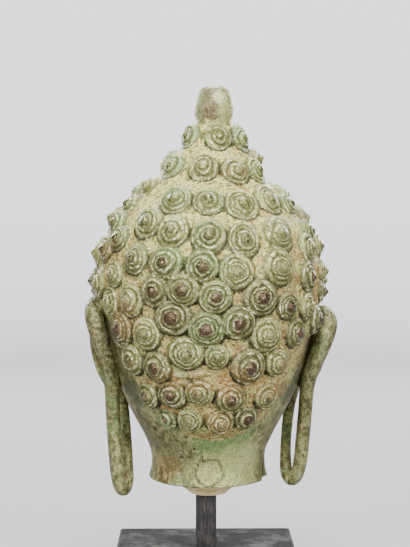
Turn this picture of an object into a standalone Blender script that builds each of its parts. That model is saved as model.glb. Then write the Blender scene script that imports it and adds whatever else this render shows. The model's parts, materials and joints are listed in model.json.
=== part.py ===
"""A cast bronze head with snail-shell curls and long split ear lobes, on a square rod and a block.

Four pieces: the head, the plaster plug in its neck, the rod and the base block. The figure faces -Y.
Metres, +Z up, with the origin at the centre of the block's underside.
"""

import math
import random

import bmesh
import bpy
from mathutils import Matrix, Vector

# Driving dimensions of the stand
BASE_SIDE = 0.125
BASE_HEIGHT = 0.045
BASE_EDGE_ROUND = 0.0015
ROD_SIDE = 0.014
ROD_EDGE_ROUND = 0.0005
ROD_IN_BASE = 0.020
ROD_IN_PLUG = 0.026
RIM_ABOVE_BASE = 0.0545
FIT_GAP = 0.0003

# Driving dimensions of the head and of what its neck holds
HEAD_HEIGHT = 0.265
HEAD_WIDTH = 0.1452
HEAD_DEPTH = 0.1550
HEAD_TURN = math.radians(5.0)
HEAD_OFF_ROD = -0.0015
NECK_WALL = 0.004
NECK_CAVITY_DEPTH = 0.040
PLUG_RECESS = 0.007
PLUG_DROP = 0.012
PLUG_FOOT_RADIUS = 0.0125
CURL_DIAMETER = 0.0215
CURL_HEIGHT = 0.0080

# One unit of the figure's own proportions: a 265th of its height, a millimetre at the real size
UNIT = HEAD_HEIGHT / 265.0

# Sections of the head without its curls from the rim up: height, half-width, reach to the back and to the front
SECTIONS = (
    (0.0, 40.3, 41.0, 41.0),
    (5.0, 39.1, 39.6, 39.8),
    (11.0, 38.5, 38.8, 40.5),
    (17.0, 39.0, 39.3, 52.0),
    (22.0, 40.6, 40.8, 62.5),
    (30.0, 44.2, 44.6, 67.0),
    (44.0, 51.5, 53.5, 69.0),
    (60.0, 58.8, 62.3, 70.5),
    (80.0, 65.2, 71.0, 72.0),
    (100.0, 69.5, 76.5, 74.0),
    (120.0, 72.3, 79.5, 75.5),
    (140.0, 72.6, 79.6, 74.8),
    (155.0, 69.8, 76.0, 71.2),
    (168.0, 64.2, 69.5, 65.2),
    (180.0, 55.6, 59.8, 56.2),
    (190.0, 46.2, 49.2, 46.6),
    (200.0, 36.8, 38.6, 37.0),
    (211.0, 28.2, 29.2, 28.4),
    (222.0, 20.4, 20.9, 20.5),
    (232.0, 14.6, 14.8, 14.7),
    (240.5, 12.4, 12.4, 12.4),
    (245.5, 13.2, 13.2, 13.2),
    (251.0, 13.4, 13.4, 13.4),
    (257.5, 11.9, 11.9, 11.9),
    (262.5, 8.2, 8.2, 8.2),
    (265.0, 2.5, 2.5, 2.5),
)
FINIAL_FOOT = 236.0
FINIAL_SHIFT = -4.0
FINIAL_LEAN_FROM = 182.0
FINIAL_LEAN_TO = 228.0
FACE_SQUARENESS = 2.25

# Lower edge of the hair: turn from the front in degrees, height
HAIR_EDGE = (
    (0.0, 150.0),
    (28.0, 149.0),
    (54.0, 133.0),
    (74.0, 118.0),
    (92.0, 112.0),
    (108.0, 110.0),
    (116.0, 98.0),
    (121.0, 82.0),
    (128.0, 69.0),
    (140.0, 55.0),
    (148.0, 46.0),
    (160.0, 37.0),
    (180.0, 33.0),
)
HAIR_CAP_RISE = 1.4
HAIR_CAP_BLEND = 2.5

# Curls of the back, a row a line from the top down: turn from the back in degrees, height, share of the diameter
BACK_CURLS = (
    ((-63, 229, 0.79), (2, 228, 0.90), (53, 227, 0.90)),
    ((-56, 208, 0.88), (-15, 207, 0.97), (20, 205, 0.94), (50, 206, 0.88)),
    ((-70, 195, 0.72), (-72, 183, 0.81), (-29, 186, 1.04), (-6, 185, 0.97), (16, 183, 1.10), (40, 186, 1.02)),
    ((62, 183, 0.86), (-86, 174, 0.86), (-42, 172, 1.02), (-25, 167, 1.02), (-6, 164, 1.07), (12, 162, 1.04)),
    ((34, 165, 1.12), (55, 156, 0.97), (78, 156, 0.86), (-71, 155, 0.88), (-60, 162, 0.84)),
    ((-58, 140, 0.84), (-44, 150, 0.95), (-27, 148, 1.05), (-9, 146, 1.02), (7, 143, 1.07), (30, 145, 1.12)),
    ((51, 138, 0.90), (75, 140, 0.81), (-62, 122, 0.95), (-46, 124, 0.99), (-32, 131, 0.95), (-18, 132, 1.01)),
    ((-3, 128, 1.01), (19, 127, 1.11), (35, 121, 0.86), (51, 119, 0.88), (72, 127, 0.75)),
    ((-55, 105, 1.11), (-38, 104, 1.03), (-23, 115, 1.11), (-7, 108, 1.11), (8, 112, 1.02), (23, 104, 1.08)),
    ((43, 103, 0.92), (-50, 86, 0.99), (-34, 83, 0.99), (-17, 93, 1.05), (-2, 91, 0.77), (15, 84, 1.12)),
    ((32, 85, 0.88), (-43, 63, 0.84), (-27, 65, 0.93), (-11, 67, 0.88), (7, 63, 0.92), (30, 63, 0.86)),
    ((-34, 48, 0.75), (-18, 48, 0.79), (2, 47, 0.86), (19, 49, 0.77)),
)
BACK_REACH = 62

# Rings of curls for the rest: height at the back, count, turn of the first curl from the back in degrees
CURL_RINGS = (
    (230.0, 6, 3.0),
    (209.5, 8, -21.0),
    (189.0, 15, -6.0),
    (167.5, 17, -5.0),
    (147.0, 19, -8.0),
    (128.5, 20, -2.0),
    (109.5, 20, -6.0),
    (90.5, 19, 2.0),
    (65.5, 16, -10.0),
    (46.0, 15, -18.0),
)
RING_RISE_AT_FRONT = 9.0
RISE_FADES_FROM = 160.0
RISE_FADES_TO = 210.0
HAIRLINE_CURLS = 11
HAIRLINE_REACH = 76.0
HAIRLINE_CURL_SHARE = 0.84
RING_CURL_SHARE = 0.95
CURL_SPREAD = 0.08
CURL_LEVELLING = 0.5
CURL_SINK = 0.95
SMALL_CURL_RISE = 0.85
CLOSEST_CURLS = 0.70
CURL_TO_HAIR_EDGE = 0.42

# Smaller curls fill the places that the rings leave, and crowded curls move apart
FILL_CURL_SHARE = 0.80
FILL_CLEARANCE = 0.92
FILL_STEP_HEIGHT = 4.0
FILL_STEP_TURN = 6
TOUCHING_CURLS = 1.06
PUSHES = 8

# Rim of an ear as one rope, from the temple over the top and round the split lobe: place and radius
EAR_ROPE = (
    (64.5, -14.0, 90.0, 3.6),
    (69.0, -13.5, 102.0, 4.4),
    (73.5, -6.0, 110.5, 5.4),
    (77.8, 4.5, 113.5, 6.2),
    (79.0, 12.5, 106.5, 6.7),
    (74.0, 17.0, 92.5, 6.4),
    (68.0, 16.5, 77.0, 5.8),
    (65.8, 13.5, 62.0, 5.1),
    (65.2, 10.8, 47.0, 5.0),
    (64.0, 9.0, 28.0, 5.0),
    (62.6, 7.4, 10.0, 4.9),
    (60.8, 4.4, -1.5, 4.6),
    (57.6, -0.6, -5.6, 4.7),
    (55.2, -5.8, -0.5, 4.6),
    (55.0, -8.6, 14.0, 3.9),
    (56.2, -9.2, 32.0, 3.9),
    (58.0, -9.2, 48.0, 4.2),
    (60.5, -7.6, 62.0, 5.0),
    (62.5, -3.0, 74.0, 4.6),
)
EAR_SHELL_PLACE = (69.4, 2.0, 86.0)
EAR_SHELL_REACH = (5.5, 18.0, 29.0)
EAR_TURN = math.radians(32.0)
EAR_LEAN = math.radians(14.0)

# The two ears differ: height of the top, share of the length, how far the top stands further out
EAR_TOP = max(row[2] for row in EAR_ROPE)
EARS = {"left": (117.5, 1.064, -1.6), "right": (109.8, 0.962, 1.6)}

# Fineness of the faceted solid
HEAD_COLUMNS = 96
HEAD_RINGS = ((0.0, 24.0, 9), (26.0, 124.0, 42), (128.0, 236.0, 19), (239.0, 264.0, 11))
HEAD_TRIANGLES = 1600
CURL_SIDES = 7
EAR_ROPE_SIDES = 8
EAR_ROPE_STEPS = 2
EAR_SHELL_SIDES = 12
TURNED_STEPS = 32
SEED = 11
MERGE = 0.00002

PARTS = "bronze_head_on_stand"
CUTTERS = "cutters"


def smooth_step(low, high, value):
    """0 below low, 1 above high, and an even curve between them."""
    share = min(1.0, max(0.0, (value - low) / (high - low)))
    return share * share * (3.0 - 2.0 * share)


def hill(x, z, place_x, place_z, reach_x, reach_z):
    """A rounded mound of height 1."""
    return math.exp(-(((x - place_x) / reach_x) ** 2) - ((z - place_z) / reach_z) ** 2)


def blended(rows, at):
    """The row of values at a place between rows, on a smooth curve through them."""
    at = min(rows[-1][0], max(rows[0][0], at))
    i = max(n for n in range(len(rows) - 1) if rows[n][0] <= at)
    low, high = rows[i], rows[i + 1]
    before, after = rows[max(i - 1, 0)], rows[min(i + 2, len(rows) - 1)]
    span = high[0] - low[0]
    t = (at - low[0]) / span
    values = []
    for k in range(1, len(low)):
        slope_low = (high[k] - before[k]) / (high[0] - before[0]) * span
        slope_high = (after[k] - low[k]) / (after[0] - low[0]) * span
        values.append(
            (2 * t**3 - 3 * t**2 + 1) * low[k]
            + (t**3 - 2 * t**2 + t) * slope_low
            + (3 * t**2 - 2 * t**3) * high[k]
            + (t**3 - t**2) * slope_high
        )
    return values


def hair_edge(turn):
    """Height of the hair's lower edge at a turn from the front."""
    return blended(HAIR_EDGE, abs(math.degrees(math.remainder(turn, 2 * math.pi))))[0]


def brow_height(x):
    """Height of the brow's arch, which springs from the root of the nose."""
    return 100.5 + 15.5 * math.sin(math.pi * (x + 3.0) / 70.0)


def brow_and_socket(x, z):
    """The arched brow's ridge, and the hollow under it."""
    below = brow_height(x) - z
    ridge = 0.9 * math.exp(-(((below + 1.0) / 2.4) ** 2)) * (1.0 - smooth_step(50.0, 60.0, x))
    hollow = smooth_step(-0.5, 2.6, below) * (1.0 - smooth_step(7.0, 25.0, below))
    across = smooth_step(4.0, 11.0, x) * (1.0 - smooth_step(44.0, 58.0, x))
    return ridge - 3.6 * hollow * across


def lowered_eye(x, z):
    """The full upper lid over the ball, the narrow opening below it and the lower lid."""
    lens = ((x - 29.5) / 17.5) ** 2 + ((z - 92.0) / 10.0) ** 2
    ball = 4.8 * max(0.0, 1.0 - lens) ** 0.8
    along = (x - 13.5) / 33.0
    if not 0.0 < along < 1.0:
        return ball
    bow = math.sin(math.pi * along)
    lid = 89.6 + 2.4 * along - 3.4 * bow
    opening = smooth_step(lid - 3.0 * bow - 0.4, lid - 3.0 * bow + 0.4, z)
    opening *= 1.0 - smooth_step(lid - 0.5, lid + 0.3, z)
    fold = math.exp(-(((z - lid - 8.5 * bow**0.7) / 0.9) ** 2)) * smooth_step(0.0, 0.2, bow)
    rolled_edge = math.exp(-(((z - lid - 0.9) / 1.0) ** 2)) * bow
    return ball - 1.5 * opening * bow**0.3 - 0.6 * fold + 0.5 * rolled_edge


def nose(x, z):
    """A straight bridge from the brows to a rounded tip, with full wings and a sharp underside."""
    down = smooth_step(108.0, 72.0, z) if z < 72.0 else 1.0 - smooth_step(72.0, 108.0, z)
    ridge = 3.0 + 8.8 * down
    breadth = 5.4 + 3.2 * down
    bridge = ridge * math.exp(-((x / breadth) ** 2.0)) * (1.0 - smooth_step(100.0, 114.0, z))
    tip = 2.2 * hill(x, z, 0.0, 73.0, 7.0, 6.5)
    wing = 6.4 * hill(x, z, 10.2, 70.5, 4.8, 5.4)
    nostril = 2.2 * hill(x, z, 5.6, 66.6, 2.4, 1.8)
    return (bridge + tip + wing) * smooth_step(64.6, 69.4, z) - nostril


def mouth(x, z):
    """Full lips with a bowed upper edge and slightly lifted corners, and the hollow below them."""
    mound = 3.6 * hill(x, z, 0.0, 52.5, 25.0, 15.0)
    line = 52.0 + 1.8 * (x / 20.0) ** 2
    share = max(0.0, 1.0 - (x / 21.0) ** 2)
    upper = line + 6.3 * share**0.85 - 1.3 * math.exp(-((x / 2.6) ** 2)) * share + 0.01
    lower = line - 7.6 * max(0.0, 1.0 - (x / 18.0) ** 2) ** 0.8 - 0.01
    lip = 0.0
    if line <= z < upper:
        lip = 2.6 * math.sin(math.pi * (z - line) / (upper - line)) ** 0.6
    if lower < z < line:
        lip = 3.0 * math.sin(math.pi * (line - z) / (line - lower)) ** 0.6
    parting = math.exp(-(((z - line) / 1.0) ** 2)) * smooth_step(0.0, 0.1, share)
    groove = 0.7 * hill(x, z, 0.0, 62.0, 2.6, 4.0)
    return mound + lip - 1.3 * parting - groove - 2.0 * hill(x, z, 0.0, 41.0, 13.0, 3.6)


def face_relief(x, z):
    """How far the face stands forward of the plain head, in units, for half of the face."""
    chin = 3.6 * hill(x, z, 0.0, 30.0, 14.0, 10.0)
    cheek = 2.0 * hill(x, z, 38.0, 70.0, 17.0, 18.0)
    return brow_and_socket(x, z) + lowered_eye(x, z) + nose(x, z) + mouth(x, z) + chin + cheek


def head_point(turn, height):
    """A point of the head without its curls, in units. Turn 0 is the front, and grows towards +X."""
    half_width, back, front = blended(SECTIONS, height)
    side, ahead = math.sin(turn), math.cos(turn)
    on_face = smooth_step(12.0, 30.0, height) * (1.0 - smooth_step(140.0, 165.0, height))
    power = 2.0 / (2.0 + (FACE_SQUARENESS - 2.0) * on_face * smooth_step(0.0, 0.3, ahead))
    x = half_width * math.copysign(abs(side) ** power, side)
    reach = front if ahead > 0.0 else back
    y = -reach * math.copysign(abs(ahead) ** power, ahead)
    x += FINIAL_SHIFT * smooth_step(FINIAL_LEAN_FROM, FINIAL_LEAN_TO, height)
    if height < FINIAL_FOOT:
        cap = HAIR_CAP_RISE * smooth_step(0.0, HAIR_CAP_BLEND, height - hair_edge(turn))
        x += cap * side
        y -= cap * ahead
    if 14.0 < height < 150.0 and ahead > 0.1:
        y -= face_relief(abs(x), height) * smooth_step(0.1, 0.35, ahead)
    return Vector((x, y, height))


def head_normal(turn, height):
    """The outward direction of the head's surface."""
    step_turn, step_height = 0.06, 3.0
    along = head_point(turn + step_turn, height) - head_point(turn - step_turn, height)
    up = head_point(turn, height + step_height) - head_point(turn, height - step_height)
    return along.cross(up).normalized()


def material(name, colour, roughness, metallic):
    made = bpy.data.materials.new(name)
    made.use_nodes = True
    shader = made.node_tree.nodes["Principled BSDF"]
    shader.inputs["Base Color"].default_value = (*colour, 1.0)
    shader.inputs["Roughness"].default_value = roughness
    shader.inputs["Metallic"].default_value = metallic
    return made


def collection(name):
    made = bpy.data.collections.new(name)
    bpy.context.scene.collection.children.link(made)
    return made


def add_object(name, mesh, group, finish=None):
    """One object in a group. With no finish it is a helper, which isn't rendered."""
    made = bpy.data.objects.new(name, mesh)
    group.objects.link(made)
    if finish:
        made.data.materials.append(finish)
    else:
        made.hide_render = True
        made.display_type = "WIRE"
    return made


def empty(name, group, place, turn):
    """A parent for pieces that are placed together."""
    made = bpy.data.objects.new(name, None)
    group.objects.link(made)
    made.location = place
    made.rotation_euler = (0.0, 0.0, turn)
    return made


def mesh_of(name, shape):
    """A mesh from a bmesh, which is freed."""
    made = bpy.data.meshes.new(name)
    shape.to_mesh(made)
    shape.free()
    return made


def boolean(target, operation, other, name):
    """Joins or cuts the target by one object or by a collection of them."""
    step = target.modifiers.new(name, "BOOLEAN")
    step.operation = operation
    if isinstance(other, bpy.types.Collection):
        step.operand_type = "COLLECTION"
        step.collection = other
    else:
        step.object = other
    return step


def box_mesh(name, side_x, side_y, low, high):
    """A box on the Z axis from one height to another."""
    shape = bmesh.new()
    bmesh.ops.create_cube(shape, size=1.0)
    bmesh.ops.scale(shape, vec=(side_x, side_y, high - low), verts=shape.verts)
    bmesh.ops.translate(shape, vec=(0.0, 0.0, (low + high) / 2.0), verts=shape.verts)
    return mesh_of(name, shape)


def turned_object(name, profile, group, finish=None):
    """A solid turned about Z from a profile of radius and height, which runs from the top down."""
    shape = bmesh.new()
    points = [shape.verts.new((radius, 0.0, height)) for radius, height in profile]
    for first, second in zip(points, points[1:]):
        shape.edges.new((first, second))
    made = add_object(name, mesh_of(name, shape), group, finish)
    turn = made.modifiers.new("turn", "SCREW")
    turn.steps = turn.render_steps = TURNED_STEPS
    turn.use_merge_vertices = True
    turn.merge_threshold = MERGE
    return made


def rounded(made, width):
    """Softens the edges of a boxy piece."""
    edge = made.modifiers.new("edges", "BEVEL")
    edge.width = width
    edge.segments = 2


def socket_cutter(name, low, high, group):
    """The square hole that takes the rod, with a gap all round it."""
    side = ROD_SIDE + 2.0 * FIT_GAP
    return add_object(name, box_mesh(name, side, side, low, high), group)


def base_block(group, cutters, finish):
    """The block, with a square socket in its top for the rod."""
    made = add_object("base_block", box_mesh("base_block", BASE_SIDE, BASE_SIDE, 0.0, BASE_HEIGHT), group, finish)
    rounded(made, BASE_EDGE_ROUND)
    floor = BASE_HEIGHT - ROD_IN_BASE - FIT_GAP
    boolean(made, "DIFFERENCE", socket_cutter("base_socket", floor, BASE_HEIGHT + ROD_SIDE, cutters), "socket")


def square_rod(group, finish):
    """The upright, from its socket in the block to its end in the plug."""
    low = BASE_HEIGHT - ROD_IN_BASE
    high = BASE_HEIGHT + RIM_ABOVE_BASE - PLUG_DROP + ROD_IN_PLUG
    made = add_object("square_rod", box_mesh("square_rod", ROD_SIDE, ROD_SIDE, low, high), group, finish)
    rounded(made, ROD_EDGE_ROUND)


def cavity_radius(height):
    """Radius of the neck's hollow at a height above the rim: the narrowest side less the wall."""
    return min(blended(SECTIONS, height / UNIT)[:2]) * UNIT - NECK_WALL


def cavity_profile(inset):
    """Half outline of the neck's hollow, drawn in by inset, from the top down to the recess."""
    top = NECK_CAVITY_DEPTH - inset
    narrow = min(cavity_radius(0.25 * NECK_CAVITY_DEPTH), cavity_radius(0.45 * NECK_CAVITY_DEPTH)) - inset
    return [
        (0.0, top),
        (0.80 * narrow, top),
        (narrow, 0.82 * NECK_CAVITY_DEPTH),
        (narrow, 0.45 * NECK_CAVITY_DEPTH),
        (narrow, 0.25 * NECK_CAVITY_DEPTH),
    ]


def cavity_cutter(group):
    """The neck's hollow, run out below the rim so that the cut is clean."""
    run_out = NECK_WALL
    mouth_radius = cavity_radius(0.0)
    profile = cavity_profile(0.0) + [(mouth_radius, 0.0), (mouth_radius, -run_out), (0.0, -run_out)]
    return turned_object("neck_hollow", profile, group)


def plaster_plug(group, cutters, finish):
    """Fills the neck's hollow down to the recess, then bulges out below the rim round the rod."""
    edge = cavity_radius(PLUG_RECESS)
    narrow = cavity_profile(FIT_GAP)[-1][0]
    edge = min(edge - FIT_GAP, narrow)
    bowl = [
        (edge, PLUG_RECESS),
        (0.86 * edge, PLUG_RECESS - 0.12 * PLUG_DROP),
        (0.5 * (edge + PLUG_FOOT_RADIUS), PLUG_RECESS - 0.55 * (PLUG_RECESS + PLUG_DROP)),
        (1.3 * PLUG_FOOT_RADIUS, -0.72 * PLUG_DROP),
        (PLUG_FOOT_RADIUS, -PLUG_DROP),
        (0.0, -PLUG_DROP),
    ]
    made = turned_object("plaster_plug", cavity_profile(FIT_GAP) + bowl, group, finish)
    high = ROD_IN_PLUG - PLUG_DROP + FIT_GAP
    socket = socket_cutter("plug_socket", -PLUG_DROP - ROD_SIDE, high, cutters)
    boolean(made, "DIFFERENCE", socket, "socket")
    return made, socket


def ring_heights():
    """Heights of the head's rings, close together on the face and the finial."""
    heights = []
    for low, high, count in HEAD_RINGS:
        heights += [low + (high - low) * n / (count - 1) for n in range(round(count))]
    return heights


def plain_head():
    """The head without curls or ears: a sphere whose rings are drawn out to the sections and the face."""
    heights = ring_heights()
    shape = bmesh.new()
    bmesh.ops.create_uvsphere(shape, u_segments=HEAD_COLUMNS, v_segments=len(heights) + 1, radius=1.0)
    for vert in shape.verts:
        ring = round((1.0 - math.acos(max(-1.0, min(1.0, vert.co.z))) / math.pi) * (len(heights) + 1)) - 1
        if ring < 0:
            vert.co = (0.0, 0.0, 0.0)
        elif ring == len(heights):
            vert.co = (0.0, 0.0, HEAD_HEIGHT)
        else:
            turn = math.atan2(vert.co.x, -vert.co.y)
            turn -= 0.30 * math.sin(turn)
            vert.co = head_point(turn, heights[ring]) * UNIT
    triangles = len(bmesh.ops.triangulate(shape, faces=shape.faces)["faces"])
    return mesh_of("plain_head", shape), HEAD_TRIANGLES / triangles


def curl_mesh():
    """One curl of diameter and height 1: a drum, sunk in the scalp, under a low cone."""
    shape = bmesh.new()
    bmesh.ops.create_cone(shape, cap_ends=True, segments=CURL_SIDES, radius1=0.48, radius2=0.5, depth=1.3)
    bmesh.ops.translate(shape, vec=(0.0, 0.0, -0.20), verts=shape.verts)
    top = max(shape.faces, key=lambda face: face.calc_center_median().z)
    nub = bmesh.ops.poke(shape, faces=[top])["verts"]
    bmesh.ops.translate(shape, vec=(0.0, 0.0, 0.55), verts=nub)
    return mesh_of("curl", shape)


def off_the_back(turn):
    """Whether a place lies outside the part of the hair whose curls have their own places."""
    return math.cos(turn) > -math.cos(math.radians(BACK_REACH))


def above_hair_edge(turn, level, size):
    """Whether a curl stands on the hair."""
    return level > hair_edge(turn) + (CURL_TO_HAIR_EDGE - 0.06) * size * CURL_DIAMETER / UNIT


def clear_of(places, turn, level, size, share):
    """Whether a curl has room on the scalp, as a share of the distance at which two curls touch."""
    here = head_point(turn, level)
    reach = share * CURL_DIAMETER / UNIT / 2.0
    return all((here - other[3]).length >= reach * (size + other[2]) for other in places)


def pushed_apart(places, fixed):
    """The places after crowded curls have pushed one another along the scalp. The first ones stay put."""
    touching = TOUCHING_CURLS * CURL_DIAMETER / UNIT / 2.0
    moved = places[:fixed]
    for i, (turn, level, size, here) in enumerate(places[fixed:], fixed):
        push = Vector()
        for j, (_, _, other_size, there) in enumerate(places):
            apart = here - there
            short = touching * (size + other_size) - apart.length
            if i != j and short > 0.0:
                push += apart.normalized() * short * 0.4
        along = Vector((math.cos(turn), math.sin(turn), 0.0))
        turn += push.dot(along) / max(Vector((here.x, here.y)).length, 1.0)
        lowest = hair_edge(turn) + CURL_TO_HAIR_EDGE * size * CURL_DIAMETER / UNIT
        level = min(CURL_RINGS[0][0], max(lowest, level + push.z))
        moved.append((turn, level, size, head_point(turn, level)))
    return moved


def curl_places():
    """Turn, height, diameter share and point of every curl: hairline, back, rings, then the fill."""
    luck = random.Random(SEED)
    diameter = CURL_DIAMETER / UNIT
    places = []
    for n in range(HAIRLINE_CURLS):
        turn = math.radians(HAIRLINE_REACH * (2.0 * n / (HAIRLINE_CURLS - 1) - 1.0))
        size = HAIRLINE_CURL_SHARE * luck.uniform(0.97, 1.03)
        level = hair_edge(turn) + 0.46 * size * diameter
        places.append((turn, level, size, head_point(turn, level)))
    for row in BACK_CURLS:
        for degrees, level, size in row:
            turn = math.pi + math.radians(degrees)
            places.append((turn, level, size, head_point(turn, level)))
    fixed = len(places)
    for height, count, first in CURL_RINGS:
        for n in range(round(count)):
            off = luck.uniform(-CURL_SPREAD, CURL_SPREAD)
            turn = math.pi + math.radians(first) + 2.0 * math.pi * (n + off) / count
            rise = RING_RISE_AT_FRONT * (1.0 + math.cos(turn)) / 2.0
            rise *= 1.0 - smooth_step(RISE_FADES_FROM, RISE_FADES_TO, height)
            level = height + rise + luck.uniform(-CURL_SPREAD, CURL_SPREAD) * diameter
            size = RING_CURL_SHARE + luck.uniform(-CURL_SPREAD, CURL_SPREAD)
            fits = off_the_back(turn) and above_hair_edge(turn, level, size)
            if fits and clear_of(places, turn, level, size, CLOSEST_CURLS):
                places.append((turn, level, size, head_point(turn, level)))
    for _ in range(PUSHES):
        places = pushed_apart(places, fixed)
    steps = int((CURL_RINGS[0][0] - CURL_RINGS[-1][0]) / FILL_STEP_HEIGHT)
    for step in range(steps):
        level = CURL_RINGS[0][0] - step * FILL_STEP_HEIGHT
        for degrees in range(0, 360, FILL_STEP_TURN):
            turn = math.radians(degrees)
            fits = off_the_back(turn) and above_hair_edge(turn, level, FILL_CURL_SHARE)
            if fits and clear_of(places, turn, level, FILL_CURL_SHARE, FILL_CLEARANCE):
                places.append((turn, level, FILL_CURL_SHARE, head_point(turn, level)))
    return places


def curl_matrix(turn, level, size):
    """Stands a curl on the scalp, facing between the surface's own direction and the level."""
    outward = head_normal(turn, level)
    outward.z *= CURL_LEVELLING
    facing = outward.normalized().to_track_quat("Z", "Y").to_matrix().to_4x4()
    place = head_point(turn, level) * UNIT
    width = size * CURL_DIAMETER
    tall = CURL_HEIGHT * CURL_SINK * (SMALL_CURL_RISE + (1.0 - SMALL_CURL_RISE) * size)
    return Matrix.Translation(place) @ facing @ Matrix.Diagonal((width, width, tall, 1.0))


def curls(group):
    """Every curl as its own object, all of one mesh."""
    mesh = curl_mesh()
    for n, (turn, level, size, _) in enumerate(curl_places()):
        made = add_object(f"curl_{n:03d}", mesh, group)
        made.matrix_world = curl_matrix(turn, level, size)


def rope_points(rows):
    """The rope's own rows with further points between them, on a smooth curve."""
    numbered = [(float(n), *row) for n, row in enumerate(rows)]
    count = (len(rows) - 1) * EAR_ROPE_STEPS
    return [blended(numbered, n / EAR_ROPE_STEPS) for n in range(count + 1)]


def ear_rope(name, side, sign, group):
    """The ear's rim and split lobe as a thick rope, made a closed mesh."""
    line = bpy.data.curves.new(name, "CURVE")
    line.dimensions = "3D"
    line.bevel_depth = 1.0
    line.bevel_resolution = EAR_ROPE_SIDES // 4
    line.use_fill_caps = True
    points = rope_points(EAR_ROPE)
    spline = line.splines.new("POLY")
    spline.points.add(len(points) - 1)
    top, length, flare = EARS[side]
    for point, (x, y, z, radius) in zip(spline.points, points):
        out = x + flare * smooth_step(60.0, EAR_TOP, z)
        point.co = (sign * out * UNIT, y * UNIT, (top - (EAR_TOP - z) * length) * UNIT, 1.0)
        point.radius = radius * UNIT
    guide = bpy.data.objects.new(name, line)
    group.objects.link(guide)
    shape = bmesh.new()
    evaluated = guide.evaluated_get(bpy.context.evaluated_depsgraph_get())
    shape.from_mesh(bpy.data.meshes.new_from_object(evaluated))
    bpy.data.objects.remove(guide)
    bmesh.ops.remove_doubles(shape, verts=shape.verts, dist=MERGE)
    bmesh.ops.recalc_face_normals(shape, faces=shape.faces)
    return add_object(name, mesh_of(name, shape), group)


def ear_shell(name, sign, group):
    """The flat of the ear inside its rim, sunk at the front into the side of the head."""
    shape = bmesh.new()
    bmesh.ops.create_uvsphere(shape, u_segments=EAR_SHELL_SIDES, v_segments=EAR_SHELL_SIDES // 2 + 1, radius=1.0)
    bmesh.ops.scale(shape, vec=[reach * UNIT for reach in EAR_SHELL_REACH], verts=shape.verts)
    made = add_object(name, mesh_of(name, shape), group)
    x, y, z = EAR_SHELL_PLACE
    made.location = (sign * x * UNIT, y * UNIT, z * UNIT)
    made.rotation_euler = (0.0, sign * EAR_LEAN, -sign * EAR_TURN)


def bronze_head(group, cutters, finish):
    """The casting: the plain head joined with its ears and curls, then hollowed at the neck."""
    added = collection("head_additions")
    mesh, share = plain_head()
    made = add_object("bronze_head", mesh, group, finish)
    thin = made.modifiers.new("thin", "DECIMATE")
    thin.ratio = share
    hollow = cavity_cutter(cutters)
    boolean(made, "DIFFERENCE", hollow, "hollow")
    for side, sign in (("left", 1.0), ("right", -1.0)):
        ear_rope(f"ear_rope_{side}", side, sign, added)
        ear_shell(f"ear_shell_{side}", sign, added)
    curls(added)
    boolean(made, "UNION", added, "ears_and_curls")
    return made, hollow, added


def clear_scene():
    for old in list(bpy.data.objects):
        bpy.data.objects.remove(old)


def main():
    clear_scene()
    parts = collection(PARTS)
    cutters = collection(CUTTERS)
    bronze = material("patinated_bronze", (0.36, 0.37, 0.24), 0.62, 0.35)
    plaster = material("cream_plaster", (0.80, 0.70, 0.47), 0.9, 0.0)
    steel = material("black_painted_steel", (0.035, 0.035, 0.036), 0.5, 0.0)
    lacquer = material("black_painted_wood", (0.05, 0.05, 0.052), 0.55, 0.0)

    base_block(parts, cutters, lacquer)
    square_rod(parts, steel)
    rim = BASE_HEIGHT + RIM_ABOVE_BASE
    turned = empty("head_on_its_rod", parts, (HEAD_OFF_ROD, 0.0, rim), HEAD_TURN)
    widest = 2.0 * max(row[1] for row in SECTIONS) * UNIT
    deepest = max(row[2] + row[3] for row in SECTIONS) * UNIT
    turned.scale = (HEAD_WIDTH / widest, HEAD_DEPTH / deepest, 1.0)
    upright = empty("over_the_block", parts, (0.0, 0.0, rim), 0.0)

    head, hollow, added = bronze_head(parts, cutters, bronze)
    plug, socket = plaster_plug(parts, cutters, plaster)
    for piece in (head, hollow, plug, *added.objects):
        piece.parent = turned
    socket.parent = upright


if __name__ == "__main__":
    main()
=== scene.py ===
"""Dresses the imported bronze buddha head: a patinated casting with snail-shell curls, on its rod and block."""

import json
import math
import random

import bmesh
import bpy
import numpy as np
from bpy.props import FloatProperty, FloatVectorProperty, PointerProperty
from mathutils import Matrix, Vector, kdtree, noise

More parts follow.
